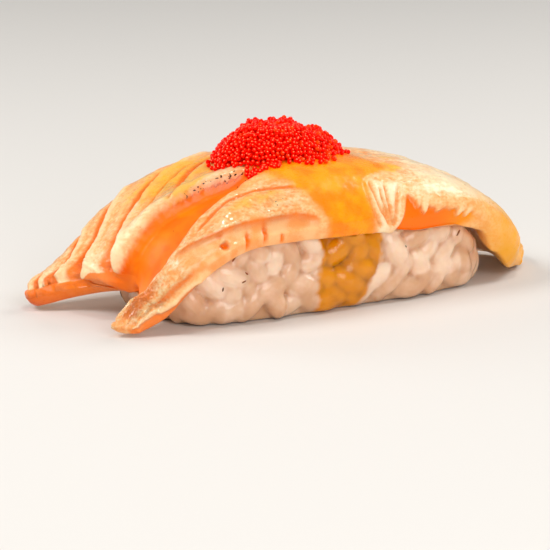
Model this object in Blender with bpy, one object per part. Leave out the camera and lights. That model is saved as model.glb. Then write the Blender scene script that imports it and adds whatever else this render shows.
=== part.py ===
# Seared salmon nigiri: a pressed finger of rice, a salmon slice draped over it, and a mound of
# flying fish roe on top. The slice runs along X with its two parted tails at -X, the front is -Y,
# and the rice stands on Z = 0 below the middle of the whole piece.

import math

import bmesh
import bpy
import numpy as np
from mathutils import Matrix, Vector
from mathutils.bvhtree import BVHTree

MM = 0.001
GAP = 0.35 * MM
RANDOM_SEED = 7
# brings the middle of the whole piece to X = 0
CENTRING_X = 1.44 * MM

# Rice finger: the bare core, and the grains that stand out of it
RICE_LENGTH = 58.0 * MM
RICE_WIDTH = 27.4 * MM
RICE_CENTRE_X = -1.0 * MM
RICE_SUNK = 5.0 * MM
RICE_POWER = 4.0
CORE_CELLS = (14, 7, 5)
CORE_GAP = 0.6 * MM
GRAIN_LENGTH = 6.6 * MM
GRAIN_WIDTH = 3.5 * MM
GRAIN_SPACING = 3.05 * MM
GRAIN_COUNT = 150
GRAIN_SIDES = 6
GRAIN_RINGS = 4
GRAIN_TOP = 15.0 * MM
GRAIN_LOWEST = 0.15 * MM
SMALLEST_EDGE = 0.005 * MM

# Salmon slice: its lengthwise line, seen from the front, is the underside on the middle
SLICE_THICKNESS = 4.6 * MM
SLICE_HALF_WIDTH = 15.2 * MM
SLICE_CELLS = (96, 46, 2)
SLICE_KEPT_SHARE = 0.235
TAIL_LINE_X = (-42.0, -36.8, -31.5, -26.5, -20.5, -12.0, -2.0, 8.5, 18.5, 27.0, 34.0, 40.6)
TAIL_LINE_Z = (0.5, 2.4, 7.0, 12.0, 15.8, 18.1, 18.5, 17.1, 14.9, 9.8, 2.6, 0.5)
# how far the long edges hang below the middle, in front and behind
FRONT_DROP = (0.0, 0.2, 1.2, 2.6, 4.0, 5.9, 6.6, 5.2, 3.0, 1.4, 0.4, 0.0)
BACK_DROP = (0.0, -1.0, -0.4, 0.6, 1.4, 3.0, 4.6, 4.8, 3.2, 1.4, 0.4, 0.0)
# between the two left tails the flesh hangs close down the end of the rice
MIDDLE_LINE_X = (-31.4, -31.5, -30.6, -27.6, -21.3)
MIDDLE_LINE_Z = (3.8, 6.4, 9.4, 12.6, 15.7)
TAPER_ALONG = (0.0, 0.35, 0.58, 0.70, 0.80, 0.90, 0.96, 1.0)
TAPER = (1.0, 1.0, 1.0, 0.98, 0.89, 0.72, 0.57, 0.42)
EDGE_ROUND = 0.6 * MM
CROWN_SHARE = 0.90
CROWN_POWER = 3.0
# the tails: where each is drawn to, how much shorter it is and how round its end
FRONT_TAIL_Y = -8.0
BACK_TAIL_Y = 13.2
TAIL_PINCH = 0.6
FRONT_TAIL_SHORT = 2.2
FRONT_TAIL_ROUND = 2.6
FRONT_TAIL_MIDDLE = -0.6
BACK_TAIL_SHORT = -1.2
BACK_TAIL_ROUND = 1.6
BACK_TAIL_MIDDLE = 0.55
RIGHT_TIP_ROUND = 3.2
NOTCH_AT = -0.22
NOTCH_TO_FRONT = 0.20
NOTCH_TO_BACK = 0.44

LOWEST_FLESH = 0.45
FLANK_LEAN = 0.10

# how much thinner the slice is at its long edges and its ends
EDGE_THINNER = 0.25
FRONT_TAIL_THINNER = 0.40
BACK_TAIL_THINNER = 0.05
RIGHT_TIP_THINNER = 0.35
THINNEST = 1.4 * MM

# Relief of the flesh, as shares of the slice's length and half width
FLAKE_LINES = (
    ((-0.05, 0.38), (0.03, 0.57), (0.06, 0.75), (0.14, 1.10)),
    ((-0.05, 0.15), (0.09, 0.36), (0.145, 0.69), (0.23, 1.05)),
    ((-0.05, -0.05), (0.04, 0.07), (0.125, 0.21), (0.17, 0.50), (0.21, 0.78), (0.31, 1.05)),
    ((0.00, -0.02), (0.11, 0.02), (0.16, 0.14), (0.21, 0.32), (0.26, 0.42), (0.32, 0.58), (0.42, 0.90)),
    ((0.25, -0.16), (0.28, 0.05), (0.32, 0.18), (0.36, 0.34), (0.43, 0.50)),
    ((0.22, -0.62), (0.32, -0.74), (0.40, -0.80), (0.50, -0.83)),
    ((0.45, 0.62), (0.60, 0.66), (0.80, 0.62), (0.94, 0.50)),
    ((0.56, 0.16), (0.70, 0.10), (0.84, 0.04), (0.96, 0.00)),
    ((0.52, -0.36), (0.66, -0.44), (0.80, -0.50), (0.92, -0.58)),
)
FLAKE_DEPTH = 1.0 * MM
FLAKE_LINE_WIDTH = 0.95 * MM
FLAKE_LINE_FADE = 0.05
GASH_ALONG = (0.00, 0.07, 0.13, 0.18, 0.23, 0.30, 0.34, 0.38)
GASH_FRONT = (-0.50, -0.62, -0.72, -0.74, -0.68, -0.56, -0.46, -0.33)
GASH_BACK = (-0.02, -0.10, -0.14, -0.17, -0.18, -0.23, -0.27, -0.31)
GASH_DEPTH = 2.4 * MM
GASH_CREST = 0.7 * MM

# Roe mound
ROE_CENTRE = (-5.3 * MM, 1.2 * MM)
ROE_HALF_LENGTH = 11.6 * MM
ROE_HALF_WIDTH = 7.2 * MM
ROE_HEIGHT = 4.1 * MM
ROE_RIM = 0.7 * MM
ROE_CELLS = (25, 15)
ROE_LEAN = 0.14
EGG_PROUD = 0.36 * MM

MATERIALS = {
    "rice": ((0.80, 0.74, 0.64), 0.35),
    "salmon": ((0.92, 0.50, 0.26), 0.38),
    "roe": ((0.80, 0.03, 0.01), 0.12),
}


def smooth(low, high, value):
    """0 at low, 1 at high and beyond it, and an even S between them."""
    t = np.clip((value - low) / (high - low), 0.0, 1.0)
    return t * t * (3.0 - 2.0 * t)


def through(knots, values, at):
    """A smooth curve through the values at the knots, read at any place between the ends."""
    knots = np.asarray(knots, float)
    values = np.asarray(values, float)
    slopes = np.gradient(values, knots)
    at = np.clip(at, knots[0], knots[-1])
    cell = np.clip(np.searchsorted(knots, at, side="right") - 1, 0, len(knots) - 2)
    span = knots[cell + 1] - knots[cell]
    t = (at - knots[cell]) / span
    start = (2 * t**3 - 3 * t**2 + 1) * values[cell] + (t**3 - 2 * t**2 + t) * span * slopes[cell]
    end = (3 * t**2 - 2 * t**3) * values[cell + 1] + (t**3 - t**2) * span * slopes[cell + 1]
    return start + end


def line_knots():
    """The share of the slice's length at each point of its lengthwise line."""
    steps = np.hypot(np.diff(TAIL_LINE_X), np.diff(TAIL_LINE_Z))
    return np.concatenate([[0.0], np.cumsum(steps)]) / steps.sum()


def line_length():
    """Length in metres of the slice's lengthwise line."""
    return np.hypot(np.diff(TAIL_LINE_X), np.diff(TAIL_LINE_Z)).sum() * MM


def crown(across):
    """The round of the slice over the rice, 0 on its middle and 1 at its long edges."""
    fall = 1.0 - (1.0 - (CROWN_SHARE * np.abs(across)) ** CROWN_POWER) ** (1.0 / CROWN_POWER)
    edge = 1.0 - (1.0 - CROWN_SHARE**CROWN_POWER) ** (1.0 / CROWN_POWER)
    return fall / edge


def slice_line(along, across):
    """X and Z of the underside in millimetres: the tails' line, or the middle's near the notch."""
    knots = line_knots()
    middle_x = MIDDLE_LINE_X + TAIL_LINE_X[len(MIDDLE_LINE_X):]
    middle_z = MIDDLE_LINE_Z + TAIL_LINE_Z[len(MIDDLE_LINE_Z):]
    notch_width = np.where(across < NOTCH_AT, NOTCH_TO_FRONT, NOTCH_TO_BACK)
    notch = np.exp(-(((across - NOTCH_AT) / notch_width) ** 2))
    x = (1 - notch) * through(knots, TAIL_LINE_X, along) + notch * through(knots, middle_x, along)
    z = (1 - notch) * through(knots, TAIL_LINE_Z, along) + notch * through(knots, middle_z, along)
    left = 1.0 - smooth(0.0, 0.20, along)
    right = smooth(0.86, 1.0, along)
    front_side = ((across - FRONT_TAIL_MIDDLE) / (1.0 + FRONT_TAIL_MIDDLE)) ** 2
    back_side = ((across - BACK_TAIL_MIDDLE) / (1.0 - BACK_TAIL_MIDDLE)) ** 2
    front_end = FRONT_TAIL_SHORT + FRONT_TAIL_ROUND * front_side
    back_end = BACK_TAIL_SHORT + BACK_TAIL_ROUND * back_side
    x = x + left * smooth(NOTCH_AT, -0.5, across) * front_end
    x = x + left * smooth(NOTCH_AT, 0.4, across) * back_end
    return x - right * RIGHT_TIP_ROUND * across**2, z


def slice_width(along, across):
    """Y in millimetres: the slice tapers to its right tip and is pinched into two left tails."""
    taper = through(TAPER_ALONG, TAPER, along)
    y = across * SLICE_HALF_WIDTH / MM * taper
    left = 1.0 - smooth(0.0, 0.24, along)
    to_front = smooth(NOTCH_AT, -0.55, across)
    to_back = smooth(NOTCH_AT, 0.30, across)
    y = y + TAIL_PINCH * left * to_front * (FRONT_TAIL_Y - y)
    return y + TAIL_PINCH * left * to_back * (BACK_TAIL_Y - y)


def underside(along, across):
    """The slice's lower face: along runs 0 to 1 from left to right, across -1 to 1, front to back."""
    x, z = slice_line(along, across)
    y = slice_width(along, across)
    front_drop = through(line_knots(), FRONT_DROP, along)
    back_drop = through(line_knots(), BACK_DROP, along)
    z = z - np.where(across < 0, front_drop, back_drop) * crown(across)
    return np.stack([x, y, np.maximum(z, LOWEST_FLESH)], -1) * MM


def gash(along, across):
    """How deep the parting between the tails is, 0 to 1: a steep bank behind, a gentle one in front."""
    front = through(GASH_ALONG, GASH_FRONT, along)
    back = through(GASH_ALONG, GASH_BACK, along)
    share = (across - front) / (back - front)
    fade = smooth(0.38, 0.30, along)
    return fade * smooth(0.0, 0.5, share) * smooth(1.12, 0.92, share)


def gash_crest(along, across):
    """1 on the crest that stands behind the parting."""
    behind = (across - through(GASH_ALONG, GASH_BACK, along)) * SLICE_HALF_WIDTH / MM
    return np.exp(-(((behind - 1.9) / 1.3) ** 2)) * smooth(0.40, 0.28, along)


def line_distance(line, along, across):
    """Distance in metres, over the flattened slice, from each place to the nearest point of a line."""
    scale = np.array([line_length(), SLICE_HALF_WIDTH])
    place = np.stack([along, across], -1) * scale
    nearest = np.full(np.shape(along), np.inf)
    for start, end in zip(line[:-1], line[1:]):
        start, end = np.array(start) * scale, np.array(end) * scale
        run = end - start
        share = np.clip((place - start) @ run / (run @ run), 0.0, 1.0)
        gap = place - start - share[..., None] * run
        nearest = np.minimum(nearest, np.hypot(gap[..., 0], gap[..., 1]))
    return nearest


def flake_grooves(along, across):
    """1 on the lines where one flake of flesh ends and the next begins, 0 between them."""
    deepest = np.zeros(np.shape(along))
    for line in FLAKE_LINES:
        share = line_distance(line, along, across) / FLAKE_LINE_WIDTH
        first, last = line[0][0], line[-1][0]
        fade = smooth(first, first + FLAKE_LINE_FADE, along) * smooth(last, last - FLAKE_LINE_FADE, along)
        deepest = np.maximum(deepest, fade * np.exp(-(share**2)))
    return deepest


def slice_depth(along, across):
    """Thickness in metres, with the flakes, the gash and the rounded ends."""
    edge = 1.0 - EDGE_THINNER * np.abs(across) ** 8
    left_thinner = np.where(across < NOTCH_AT, FRONT_TAIL_THINNER, BACK_TAIL_THINNER)
    ends = 1.0 - left_thinner * smooth(0.05, 0.0, along) - RIGHT_TIP_THINNER * smooth(0.86, 1.0, along)
    depth = SLICE_THICKNESS * edge * ends + GASH_CREST * gash_crest(along, across)
    depth = depth - FLAKE_DEPTH * flake_grooves(along, across)
    depth = depth - GASH_DEPTH * gash(along, across)
    return np.maximum(depth, THINNEST)


def slice_point(along, across, up):
    """A place in the slice: up runs from 0 on the lower face to 1 on the upper one."""
    low = underside(along, across)
    step = 0.002
    ahead = underside(np.minimum(along + step, 1.0), across)
    behind = underside(np.maximum(along - step, 0.0), across)
    run = ahead - behind
    length = np.maximum(np.hypot(run[..., 0], run[..., 2]), 1e-9)
    rise = np.stack([-run[..., 2] / length, FLANK_LEAN * across, run[..., 0] / length], -1)
    point = low + rise * (slice_depth(along, across) * up)[..., None]
    # the cut faces all round bulge a little between their two edges
    bulge = EDGE_ROUND * (1.0 - (2.0 * up - 1.0) ** 2)
    point[..., 0] += bulge * ((along > 0.999).astype(float) - (along < 0.001))
    point[..., 1] += bulge * ((across > 0.999).astype(float) - (across < -0.999))
    return point


def subdivided_block(cells):
    """A cube from -1 to 1 whose faces are cut into cells[0] x cells[1] x cells[2]."""
    block = bmesh.new()
    bmesh.ops.create_cube(block, size=2.0)
    for axis, count in enumerate(cells):
        lines = [
            e for e in block.edges
            if abs(e.verts[0].co[axis] - e.verts[1].co[axis]) > 1.5
        ]
        bmesh.ops.subdivide_edges(block, edges=lines, cuts=count - 1, use_grid_fill=True)
    return block


def coordinates(mesh):
    flat = np.empty(len(mesh.vertices) * 3, np.float32)
    mesh.vertices.foreach_get("co", flat)
    return flat.reshape(-1, 3).astype(float)


def new_object(name, block, collection):
    """The edited mesh as a named object, with its material."""
    mesh = bpy.data.meshes.new(name)
    bmesh.ops.recalc_face_normals(block, faces=block.faces)
    block.to_mesh(mesh)
    block.free()
    piece = bpy.data.objects.new(name, mesh)
    collection.objects.link(piece)
    return piece


def reshape(piece, points):
    piece.data.vertices.foreach_set("co", points.astype(np.float32).ravel())
    piece.data.update()


def apply_modifiers(piece):
    """Leaves the evaluated mesh on the object, without its modifiers."""
    bpy.context.view_layer.update()
    graph = bpy.context.evaluated_depsgraph_get()
    mesh = bpy.data.meshes.new_from_object(piece.evaluated_get(graph))
    piece.modifiers.clear()
    piece.data = mesh


def paint(piece):
    colour, roughness = MATERIALS[piece.name]
    material = bpy.data.materials.new(piece.name)
    material.use_nodes = True
    shader = material.node_tree.nodes["Principled BSDF"]
    shader.inputs["Base Color"].default_value = (*colour, 1.0)
    shader.inputs["Roughness"].default_value = roughness
    shader.inputs["Metallic"].default_value = 0.0
    piece.data.materials.clear()
    piece.data.materials.append(material)


def build_salmon(collection):
    """The slice: a block bent over the rice, thinned where it carries little detail."""
    piece = new_object("salmon", subdivided_block(SLICE_CELLS), collection)
    cube = coordinates(piece.data)
    along, across, up = (cube[:, 0] + 1) / 2, cube[:, 1], (cube[:, 2] + 1) / 2
    reshape(piece, slice_point(along, across, up))
    thin = piece.modifiers.new("thin_out", "DECIMATE")
    thin.ratio = SLICE_KEPT_SHARE
    apply_modifiers(piece)
    paint(piece)
    return piece


def rice_roof(x):
    """Height of the slice's lower face over the middle of the rice, less the gap."""
    along = np.linspace(0.0, 1.0, 200)
    line_x, line_z = through(line_knots(), TAIL_LINE_X, along), through(line_knots(), TAIL_LINE_Z, along)
    return np.interp(x / MM, line_x, line_z) * MM - GAP


def core_point(cube):
    """A cube's point pushed onto the rice's core: a boxy round form below the slice's arch."""
    norm = (np.abs(cube) ** RICE_POWER).sum(1) ** (1.0 / RICE_POWER)
    ball = cube / norm[:, None]
    x = RICE_CENTRE_X + ball[:, 0] * RICE_LENGTH / 2
    y = ball[:, 1] * RICE_WIDTH / 2
    roof = rice_roof(x)
    z = (ball[:, 2] + 1) / 2 * (roof + RICE_SUNK) - RICE_SUNK
    return np.stack([x, y, np.maximum(z, 0.0)], 1)


def build_core(collection, blocked):
    """The core, pressed down wherever it would come closer to the slice than the gap."""
    piece = new_object("rice", subdivided_block(CORE_CELLS), collection)
    points = core_point(coordinates(piece.data))
    for point in points:
        above = blocked.ray_cast(Vector((point[0], point[1], -CORE_GAP)), Vector((0, 0, 1)))[0]
        if above is not None:
            point[2] = max(0.0, min(point[2], above.z - CORE_GAP))
    reshape(piece, points)
    return piece


def grain_places(core, blocked):
    """Spots on the core's sides, spread at least a spacing apart, with the way out of the rice."""
    random = np.random.default_rng(RANDOM_SEED)
    surface = BVHTree.FromObject(core, bpy.context.evaluated_depsgraph_get())
    spots = []
    tries = 0
    while len(spots) < GRAIN_COUNT and tries < 9000:
        tries += 1
        turn = random.uniform(0, 2 * math.pi)
        height = GRAIN_TOP * random.uniform(0.02, 1.0)
        # rays come in from a long oval round the rice, so both its ends get their share
        aim = Vector((RICE_CENTRE_X + 0.72 * RICE_LENGTH / 2 * math.cos(turn), 0.0, height))
        start = aim + Vector((0.06 * math.cos(turn), 0.06 * math.sin(turn), 0.0))
        spot, normal, _, _ = surface.ray_cast(start, (aim - start).normalized())
        if spot is None or normal.z < -0.3 or normal.z > 0.9:
            continue
        if any((spot - other).length < GRAIN_SPACING for other, _, _ in spots):
            continue
        lean = random.uniform(-1.0, 1.0) * math.radians(75)
        grain = grain_matrix(spot, normal, lean, random)
        if touches(grain, blocked):
            continue
        spots.append((spot, normal, grain))
    return [grain for _, _, grain in spots]


def grain_matrix(spot, normal, lean, random):
    """Places a grain flat against the rice, leaning by an angle from the level."""
    side = Vector((0, 0, 1)).cross(normal).normalized()
    climb = normal.cross(side)
    axis = (side * math.cos(lean) + climb * math.sin(lean)).normalized()
    axis = (axis + normal * random.uniform(-0.22, 0.22)).normalized()
    outward = (normal - axis * normal.dot(axis)).normalized()
    size = random.uniform(0.88, 1.10)
    length, width = GRAIN_LENGTH * size, GRAIN_WIDTH * size
    centre = spot - normal * width * random.uniform(0.02, 0.16)
    reach = 0.5 * math.hypot(length * axis.z, width * math.sqrt(max(0.0, 1 - axis.z**2)))
    centre.z = max(centre.z, reach + GRAIN_LOWEST)
    turn = Matrix((axis, outward.cross(axis), outward)).transposed().to_4x4()
    return Matrix.Translation(centre) @ turn @ Matrix.Diagonal((length, width, width, 1.0))


def grain_block(matrix):
    """One grain with few sides: a ball of diameter 1 drawn out along X."""
    block = bmesh.new()
    lay = Matrix.Rotation(math.pi / 2, 4, "Y")
    bmesh.ops.create_uvsphere(
        block, u_segments=GRAIN_SIDES, v_segments=GRAIN_RINGS, radius=0.5, matrix=matrix @ lay
    )
    return block


def touches(matrix, blocked):
    """True where a slightly larger grain would cut the slice."""
    room = 1.0 + 2.6 * GAP / GRAIN_WIDTH
    block = grain_block(matrix @ Matrix.Scale(room, 4))
    tree = BVHTree.FromBMesh(block)
    block.free()
    return bool(tree.overlap(blocked))


def keep_outer_body(piece):
    """Drops loose scraps and the walls of any hollow that the join has sealed, and tiny edges."""
    block = bmesh.new()
    block.from_mesh(piece.data)
    bmesh.ops.remove_doubles(block, verts=block.verts, dist=SMALLEST_EDGE)
    unseen = set(block.verts)
    bodies = []
    while unseen:
        first = unseen.pop()
        body, front = {first}, [first]
        while front:
            near = [e.other_vert(v) for v in front for e in v.link_edges]
            front = [v for v in set(near) if v in unseen]
            unseen.difference_update(front)
            body.update(front)
        bodies.append(body)
    bodies.sort(key=len)
    for body in bodies[:-1]:
        bmesh.ops.delete(block, geom=list(body), context="VERTS")
    block.to_mesh(piece.data)
    block.free()


def build_rice(collection, salmon):
    """The finger of rice: its core with the grains that show joined on by one union."""
    bpy.context.view_layer.update()
    blocked = BVHTree.FromObject(salmon, bpy.context.evaluated_depsgraph_get())
    core = build_core(collection, blocked)
    bpy.context.view_layer.update()
    grains = bpy.data.collections.new("grains")
    bpy.context.scene.collection.children.link(grains)
    for number, place in enumerate(grain_places(core, blocked)):
        new_object(f"grain_{number}", grain_block(place), grains)
    join = core.modifiers.new("join_grains", "BOOLEAN")
    join.operation = "UNION"
    join.operand_type = "COLLECTION"
    join.collection = grains
    join.solver = "MANIFOLD"
    apply_modifiers(core)
    for grain in list(grains.objects):
        bpy.data.objects.remove(grain)
    bpy.data.collections.remove(grains)
    keep_outer_body(core)
    paint(core)
    return core


def roe_plan(u, v):
    """A square's point as a share of the mound's uneven oval, and how near the rim it lies."""
    reach = np.maximum(np.abs(u), np.abs(v))
    length = np.maximum(np.hypot(u, v), 1e-9)
    angle = np.arctan2(v, u)
    wavy = 1.0 + 0.05 * np.sin(2 * angle + 0.6) + 0.05 * np.sin(3 * angle + 2.0) + 0.03 * np.sin(7 * angle)
    x = ROE_CENTRE[0] + ROE_HALF_LENGTH * wavy * reach * u / length
    y = ROE_CENTRE[1] + ROE_HALF_WIDTH * wavy * reach * v / length
    return x, y, reach


def seat_heights(surface, x, y):
    """Height of the slice under each place."""
    down = Vector((0, 0, -1))
    return np.array([surface.ray_cast(Vector((a, b, 0.1)), down)[0].z for a, b in zip(x, y)])


def build_roe(collection, salmon):
    """The mound: an oval of egg-sized cells lying on the slice, heaped up, each cell raised to a point."""
    surface = BVHTree.FromObject(salmon, bpy.context.evaluated_depsgraph_get())
    block = bmesh.new()
    bmesh.ops.create_grid(block, x_segments=ROE_CELLS[0], y_segments=ROE_CELLS[1], size=1.0)
    lifted = bmesh.ops.extrude_face_region(block, geom=block.faces[:])["geom"]
    top_faces = [part for part in lifted if isinstance(part, bmesh.types.BMFace)]
    for vert in {v for face in top_faces for v in face.verts}:
        vert.co.z = 1.0
    piece = new_object("roe", block, collection)
    square = coordinates(piece.data)
    x, y, reach = roe_plan(square[:, 0], square[:, 1])
    seat = seat_heights(surface, x, y)
    terms = np.stack([np.ones_like(x), x, y, x * x, x * y, y * y], 1)
    bed = terms @ np.linalg.lstsq(terms, seat, rcond=None)[0]
    heap = ROE_HEIGHT * (1.0 - np.clip(reach, 0, 1) ** 2.1) ** 0.75
    heap = ROE_RIM + heap * (1.0 - ROE_LEAN * square[:, 0])
    low = seat + 1.3 * GAP
    high = np.maximum(bed + heap, low + ROE_RIM)
    z = np.where(square[:, 2] > 0.5, high, low)
    reshape(piece, np.stack([x, y, z], 1))
    raise_eggs(piece)
    paint(piece)
    return piece


def raise_eggs(piece):
    """Each upper cell becomes one egg: its middle stands out."""
    block = bmesh.new()
    block.from_mesh(piece.data)
    block.normal_update()
    upper = [face for face in block.faces if face.normal.z > 0.15]
    bmesh.ops.poke(block, faces=upper, offset=EGG_PROUD)
    block.to_mesh(piece.data)
    block.free()


def main():
    for old in list(bpy.data.objects):
        bpy.data.objects.remove(old)
    nigiri = bpy.data.collections.new("nigiri")
    bpy.context.scene.collection.children.link(nigiri)
    salmon = build_salmon(nigiri)
    rice = build_rice(nigiri, salmon)
    roe = build_roe(nigiri, salmon)
    for piece in (salmon, rice, roe):
        piece.data.transform(Matrix.Translation((CENTRING_X, 0.0, 0.0)))


main()
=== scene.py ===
# Seared salmon nigiri: the looks of the slice, the rice, the flying fish roe and the sauce, in the CAD frame.
# Shapes are worked out in millimetres and written to the meshes in metres.

import math

import bmesh
import bpy
import numpy as np
from mathutils import Matrix, Vector
from mathutils.bvhtree import BVHTree
from mathutils.kdtree import KDTree


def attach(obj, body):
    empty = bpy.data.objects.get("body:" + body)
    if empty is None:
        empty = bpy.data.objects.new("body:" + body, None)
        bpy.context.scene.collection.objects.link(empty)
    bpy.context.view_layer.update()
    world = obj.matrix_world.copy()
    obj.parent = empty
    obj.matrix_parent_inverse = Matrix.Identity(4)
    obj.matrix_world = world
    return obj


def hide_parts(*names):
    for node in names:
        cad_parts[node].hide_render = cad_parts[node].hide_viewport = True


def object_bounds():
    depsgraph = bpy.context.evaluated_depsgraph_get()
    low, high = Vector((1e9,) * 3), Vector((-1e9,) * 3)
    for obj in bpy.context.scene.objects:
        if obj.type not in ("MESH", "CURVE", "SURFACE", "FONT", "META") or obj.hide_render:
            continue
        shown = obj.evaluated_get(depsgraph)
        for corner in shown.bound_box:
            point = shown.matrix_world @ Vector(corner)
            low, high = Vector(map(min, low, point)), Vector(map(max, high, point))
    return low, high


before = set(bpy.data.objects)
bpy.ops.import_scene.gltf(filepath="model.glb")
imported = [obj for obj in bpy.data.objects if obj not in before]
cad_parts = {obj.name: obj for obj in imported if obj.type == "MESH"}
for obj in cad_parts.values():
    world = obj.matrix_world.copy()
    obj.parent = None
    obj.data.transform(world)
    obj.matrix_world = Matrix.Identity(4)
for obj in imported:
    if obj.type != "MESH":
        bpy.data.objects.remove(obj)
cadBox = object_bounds()
mm = 0.001


# Small numeric helpers

def smooth(low, high, value):  # 0 at low, 1 at high and beyond it, an even S between them
    t = np.clip((value - low) / (high - low), 0.0, 1.0)
    return t * t * (3.0 - 2.0 * t)


def between(value, start, full, lessening, end):  # 0 up to start and from end on, 1 from full to lessening
    return smooth(start, full, value) * smooth(end, lessening, value)


def bell(value, width):  # 1 at zero, falling to both sides as a bell curve
    return np.exp(-((value / width) ** 2))


def ovals(along, across, spots):  # soft ovals added up: strength, middle and reach of each
    return sum(strength * bell(along - a, reachA) * bell(across - b, reachB)
               for strength, (a, b), (reachA, reachB) in spots)


def unit(vector):  # the same direction, 1 long
    return vector / np.linalg.norm(vector)


def through(knots, values, at):  # a cubic through the values at the knots, with their own slopes
    knots, values = np.asarray(knots, float), np.asarray(values, float)
    slopes = np.gradient(values, knots)
    at = np.clip(at, knots[0], knots[-1])
    cell = np.clip(np.searchsorted(knots, at, side="right") - 1, 0, len(knots) - 2)
    span = knots[cell + 1] - knots[cell]
    t = (at - knots[cell]) / span
    start = (2 * t**3 - 3 * t**2 + 1) * values[cell] + (t**3 - 2 * t**2 + t) * span * slopes[cell]
    end = (3 * t**2 - 2 * t**3) * values[cell + 1] + (t**3 - t**2) * span * slopes[cell + 1]
    return start + end


def noise(x, y, seed, octaves=1):  # random values at whole-number places, blended smoothly; -1 to 1
    total, strength, weight = np.zeros(np.broadcast(x, y).shape), 1.0, 0.0
    for octave in range(octaves):
        table = np.random.default_rng(seed + 17 * octave).uniform(-1, 1, (64, 64))
        column, row = np.floor(x).astype(int), np.floor(y).astype(int)
        u, v = smooth(0, 1, x - column), smooth(0, 1, y - row)
        corner = [table[(column + a) % 64, (row + b) % 64] for a, b in ((0, 0), (1, 0), (0, 1), (1, 1))]
        low = corner[0] * (1 - u) + corner[1] * u
        high = corner[2] * (1 - u) + corner[3] * u
        total = total + strength * (low * (1 - v) + high * v)
        weight += strength
        x, y, strength = x * 2.03 + 5.1, y * 2.03 + 9.7, strength * 0.5
    return total / weight


def lineDistance(line, along, across, scale):  # signed distance in mm, positive to the line's right
    place = np.stack([along, across], -1) * scale
    nearest, side = np.full(np.shape(along), 1e6), np.ones(np.shape(along))
    for start, end in zip(line[:-1], line[1:]):
        start, end = np.array(start) * scale, np.array(end) * scale
        run = end - start
        share = np.clip((place - start) @ run / (run @ run), 0.0, 1.0)
        gap = place - start - share[..., None] * run
        length = np.hypot(gap[..., 0], gap[..., 1])
        closer = length < nearest
        nearest = np.where(closer, length, nearest)
        side = np.where(closer, np.sign(run[1] * gap[..., 0] - run[0] * gap[..., 1]), side)
    return nearest * side


# Meshes

def newPiece(name, points, faces):  # points in mm
    mesh = bpy.data.meshes.new(name)
    mesh.from_pydata((np.asarray(points) * mm).tolist(), [], faces)
    mesh.validate()
    mesh.shade_smooth()
    piece = bpy.data.objects.new(name, mesh)
    bpy.context.scene.collection.objects.link(piece)
    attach(piece, "root")
    return piece


def addField(piece, name, values):  # one number for each point, which the material reads
    field = piece.data.attributes.new(name, "FLOAT", "POINT")
    field.data.foreach_set("value", np.asarray(values, np.float32).ravel())


def readPoints(mesh):  # in mm
    flat = np.empty(len(mesh.vertices) * 3, np.float32)
    mesh.vertices.foreach_get("co", flat)
    return flat.reshape(-1, 3).astype(float) / mm


def readNormals(mesh):  # outward directions, 1 long
    flat = np.empty(len(mesh.vertices) * 3, np.float32)
    mesh.vertices.foreach_get("normal", flat)
    return flat.reshape(-1, 3)


def writePoints(mesh, points):  # in mm
    mesh.vertices.foreach_set("co", (points * mm).astype(np.float32).ravel())


def applyModifiers(piece):  # what its modifiers make becomes the piece's own mesh
    bpy.context.view_layer.update()
    graph = bpy.context.evaluated_depsgraph_get()
    mesh = bpy.data.meshes.new_from_object(piece.evaluated_get(graph))
    piece.modifiers.clear()
    piece.data = mesh
    mesh.shade_smooth()


def faceOutwards(piece, merge=0.0):  # joins points nearer than merge, in mm, and turns all faces outwards
    work = bmesh.new()
    work.from_mesh(piece.data)
    if merge:
        bmesh.ops.remove_doubles(work, verts=work.verts, dist=merge * mm)
    bmesh.ops.recalc_face_normals(work, faces=work.faces)
    openEdges = sum(len(rim.link_faces) != 2 for rim in work.edges)
    print(piece.name, len(work.faces), "faces,", openEdges, "open edges")
    work.to_mesh(piece.data)
    work.free()
    piece.data.shade_smooth()


def treeOf(piece):  # for rays that meet the piece
    return BVHTree.FromObject(piece, bpy.context.evaluated_depsgraph_get())


def gridFaces(rows, around, flipped=False):  # four-sided faces of a grid that closes on itself sideways
    row, column = np.meshgrid(np.arange(rows - 1), np.arange(around), indexing="ij")
    after = (column + 1) % around
    here, above = row * around, (row + 1) * around
    corners = [here + column, above + column, above + after, here + after]
    if flipped:
        corners[1:] = corners[:0:-1]
    return np.stack(corners, -1).reshape(-1, 4).tolist()


def repeatedFaces(faces, size, count):  # the same faces for each of count copies that have size points
    return [[copy * size + corner for corner in face] for copy in range(count) for face in faces]


# Materials: shader maths as Python expressions

class Socket:
    # wraps a node's output; arithmetic on it adds Math nodes
    def __init__(self, shader, link):
        self.shader, self.link = shader, link

    def calc(self, operation, first, second):
        return self.shader.node("ShaderNodeMath", {"operation": operation}, {0: first, 1: second})

    def __add__(self, other):
        return self.calc("ADD", self, other)

    def __radd__(self, other):
        return self.calc("ADD", other, self)

    def __sub__(self, other):
        return self.calc("SUBTRACT", self, other)

    def __rsub__(self, other):
        return self.calc("SUBTRACT", other, self)

    def __mul__(self, other):
        return self.calc("MULTIPLY", self, other)

    def __rmul__(self, other):
        return self.calc("MULTIPLY", other, self)


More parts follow.
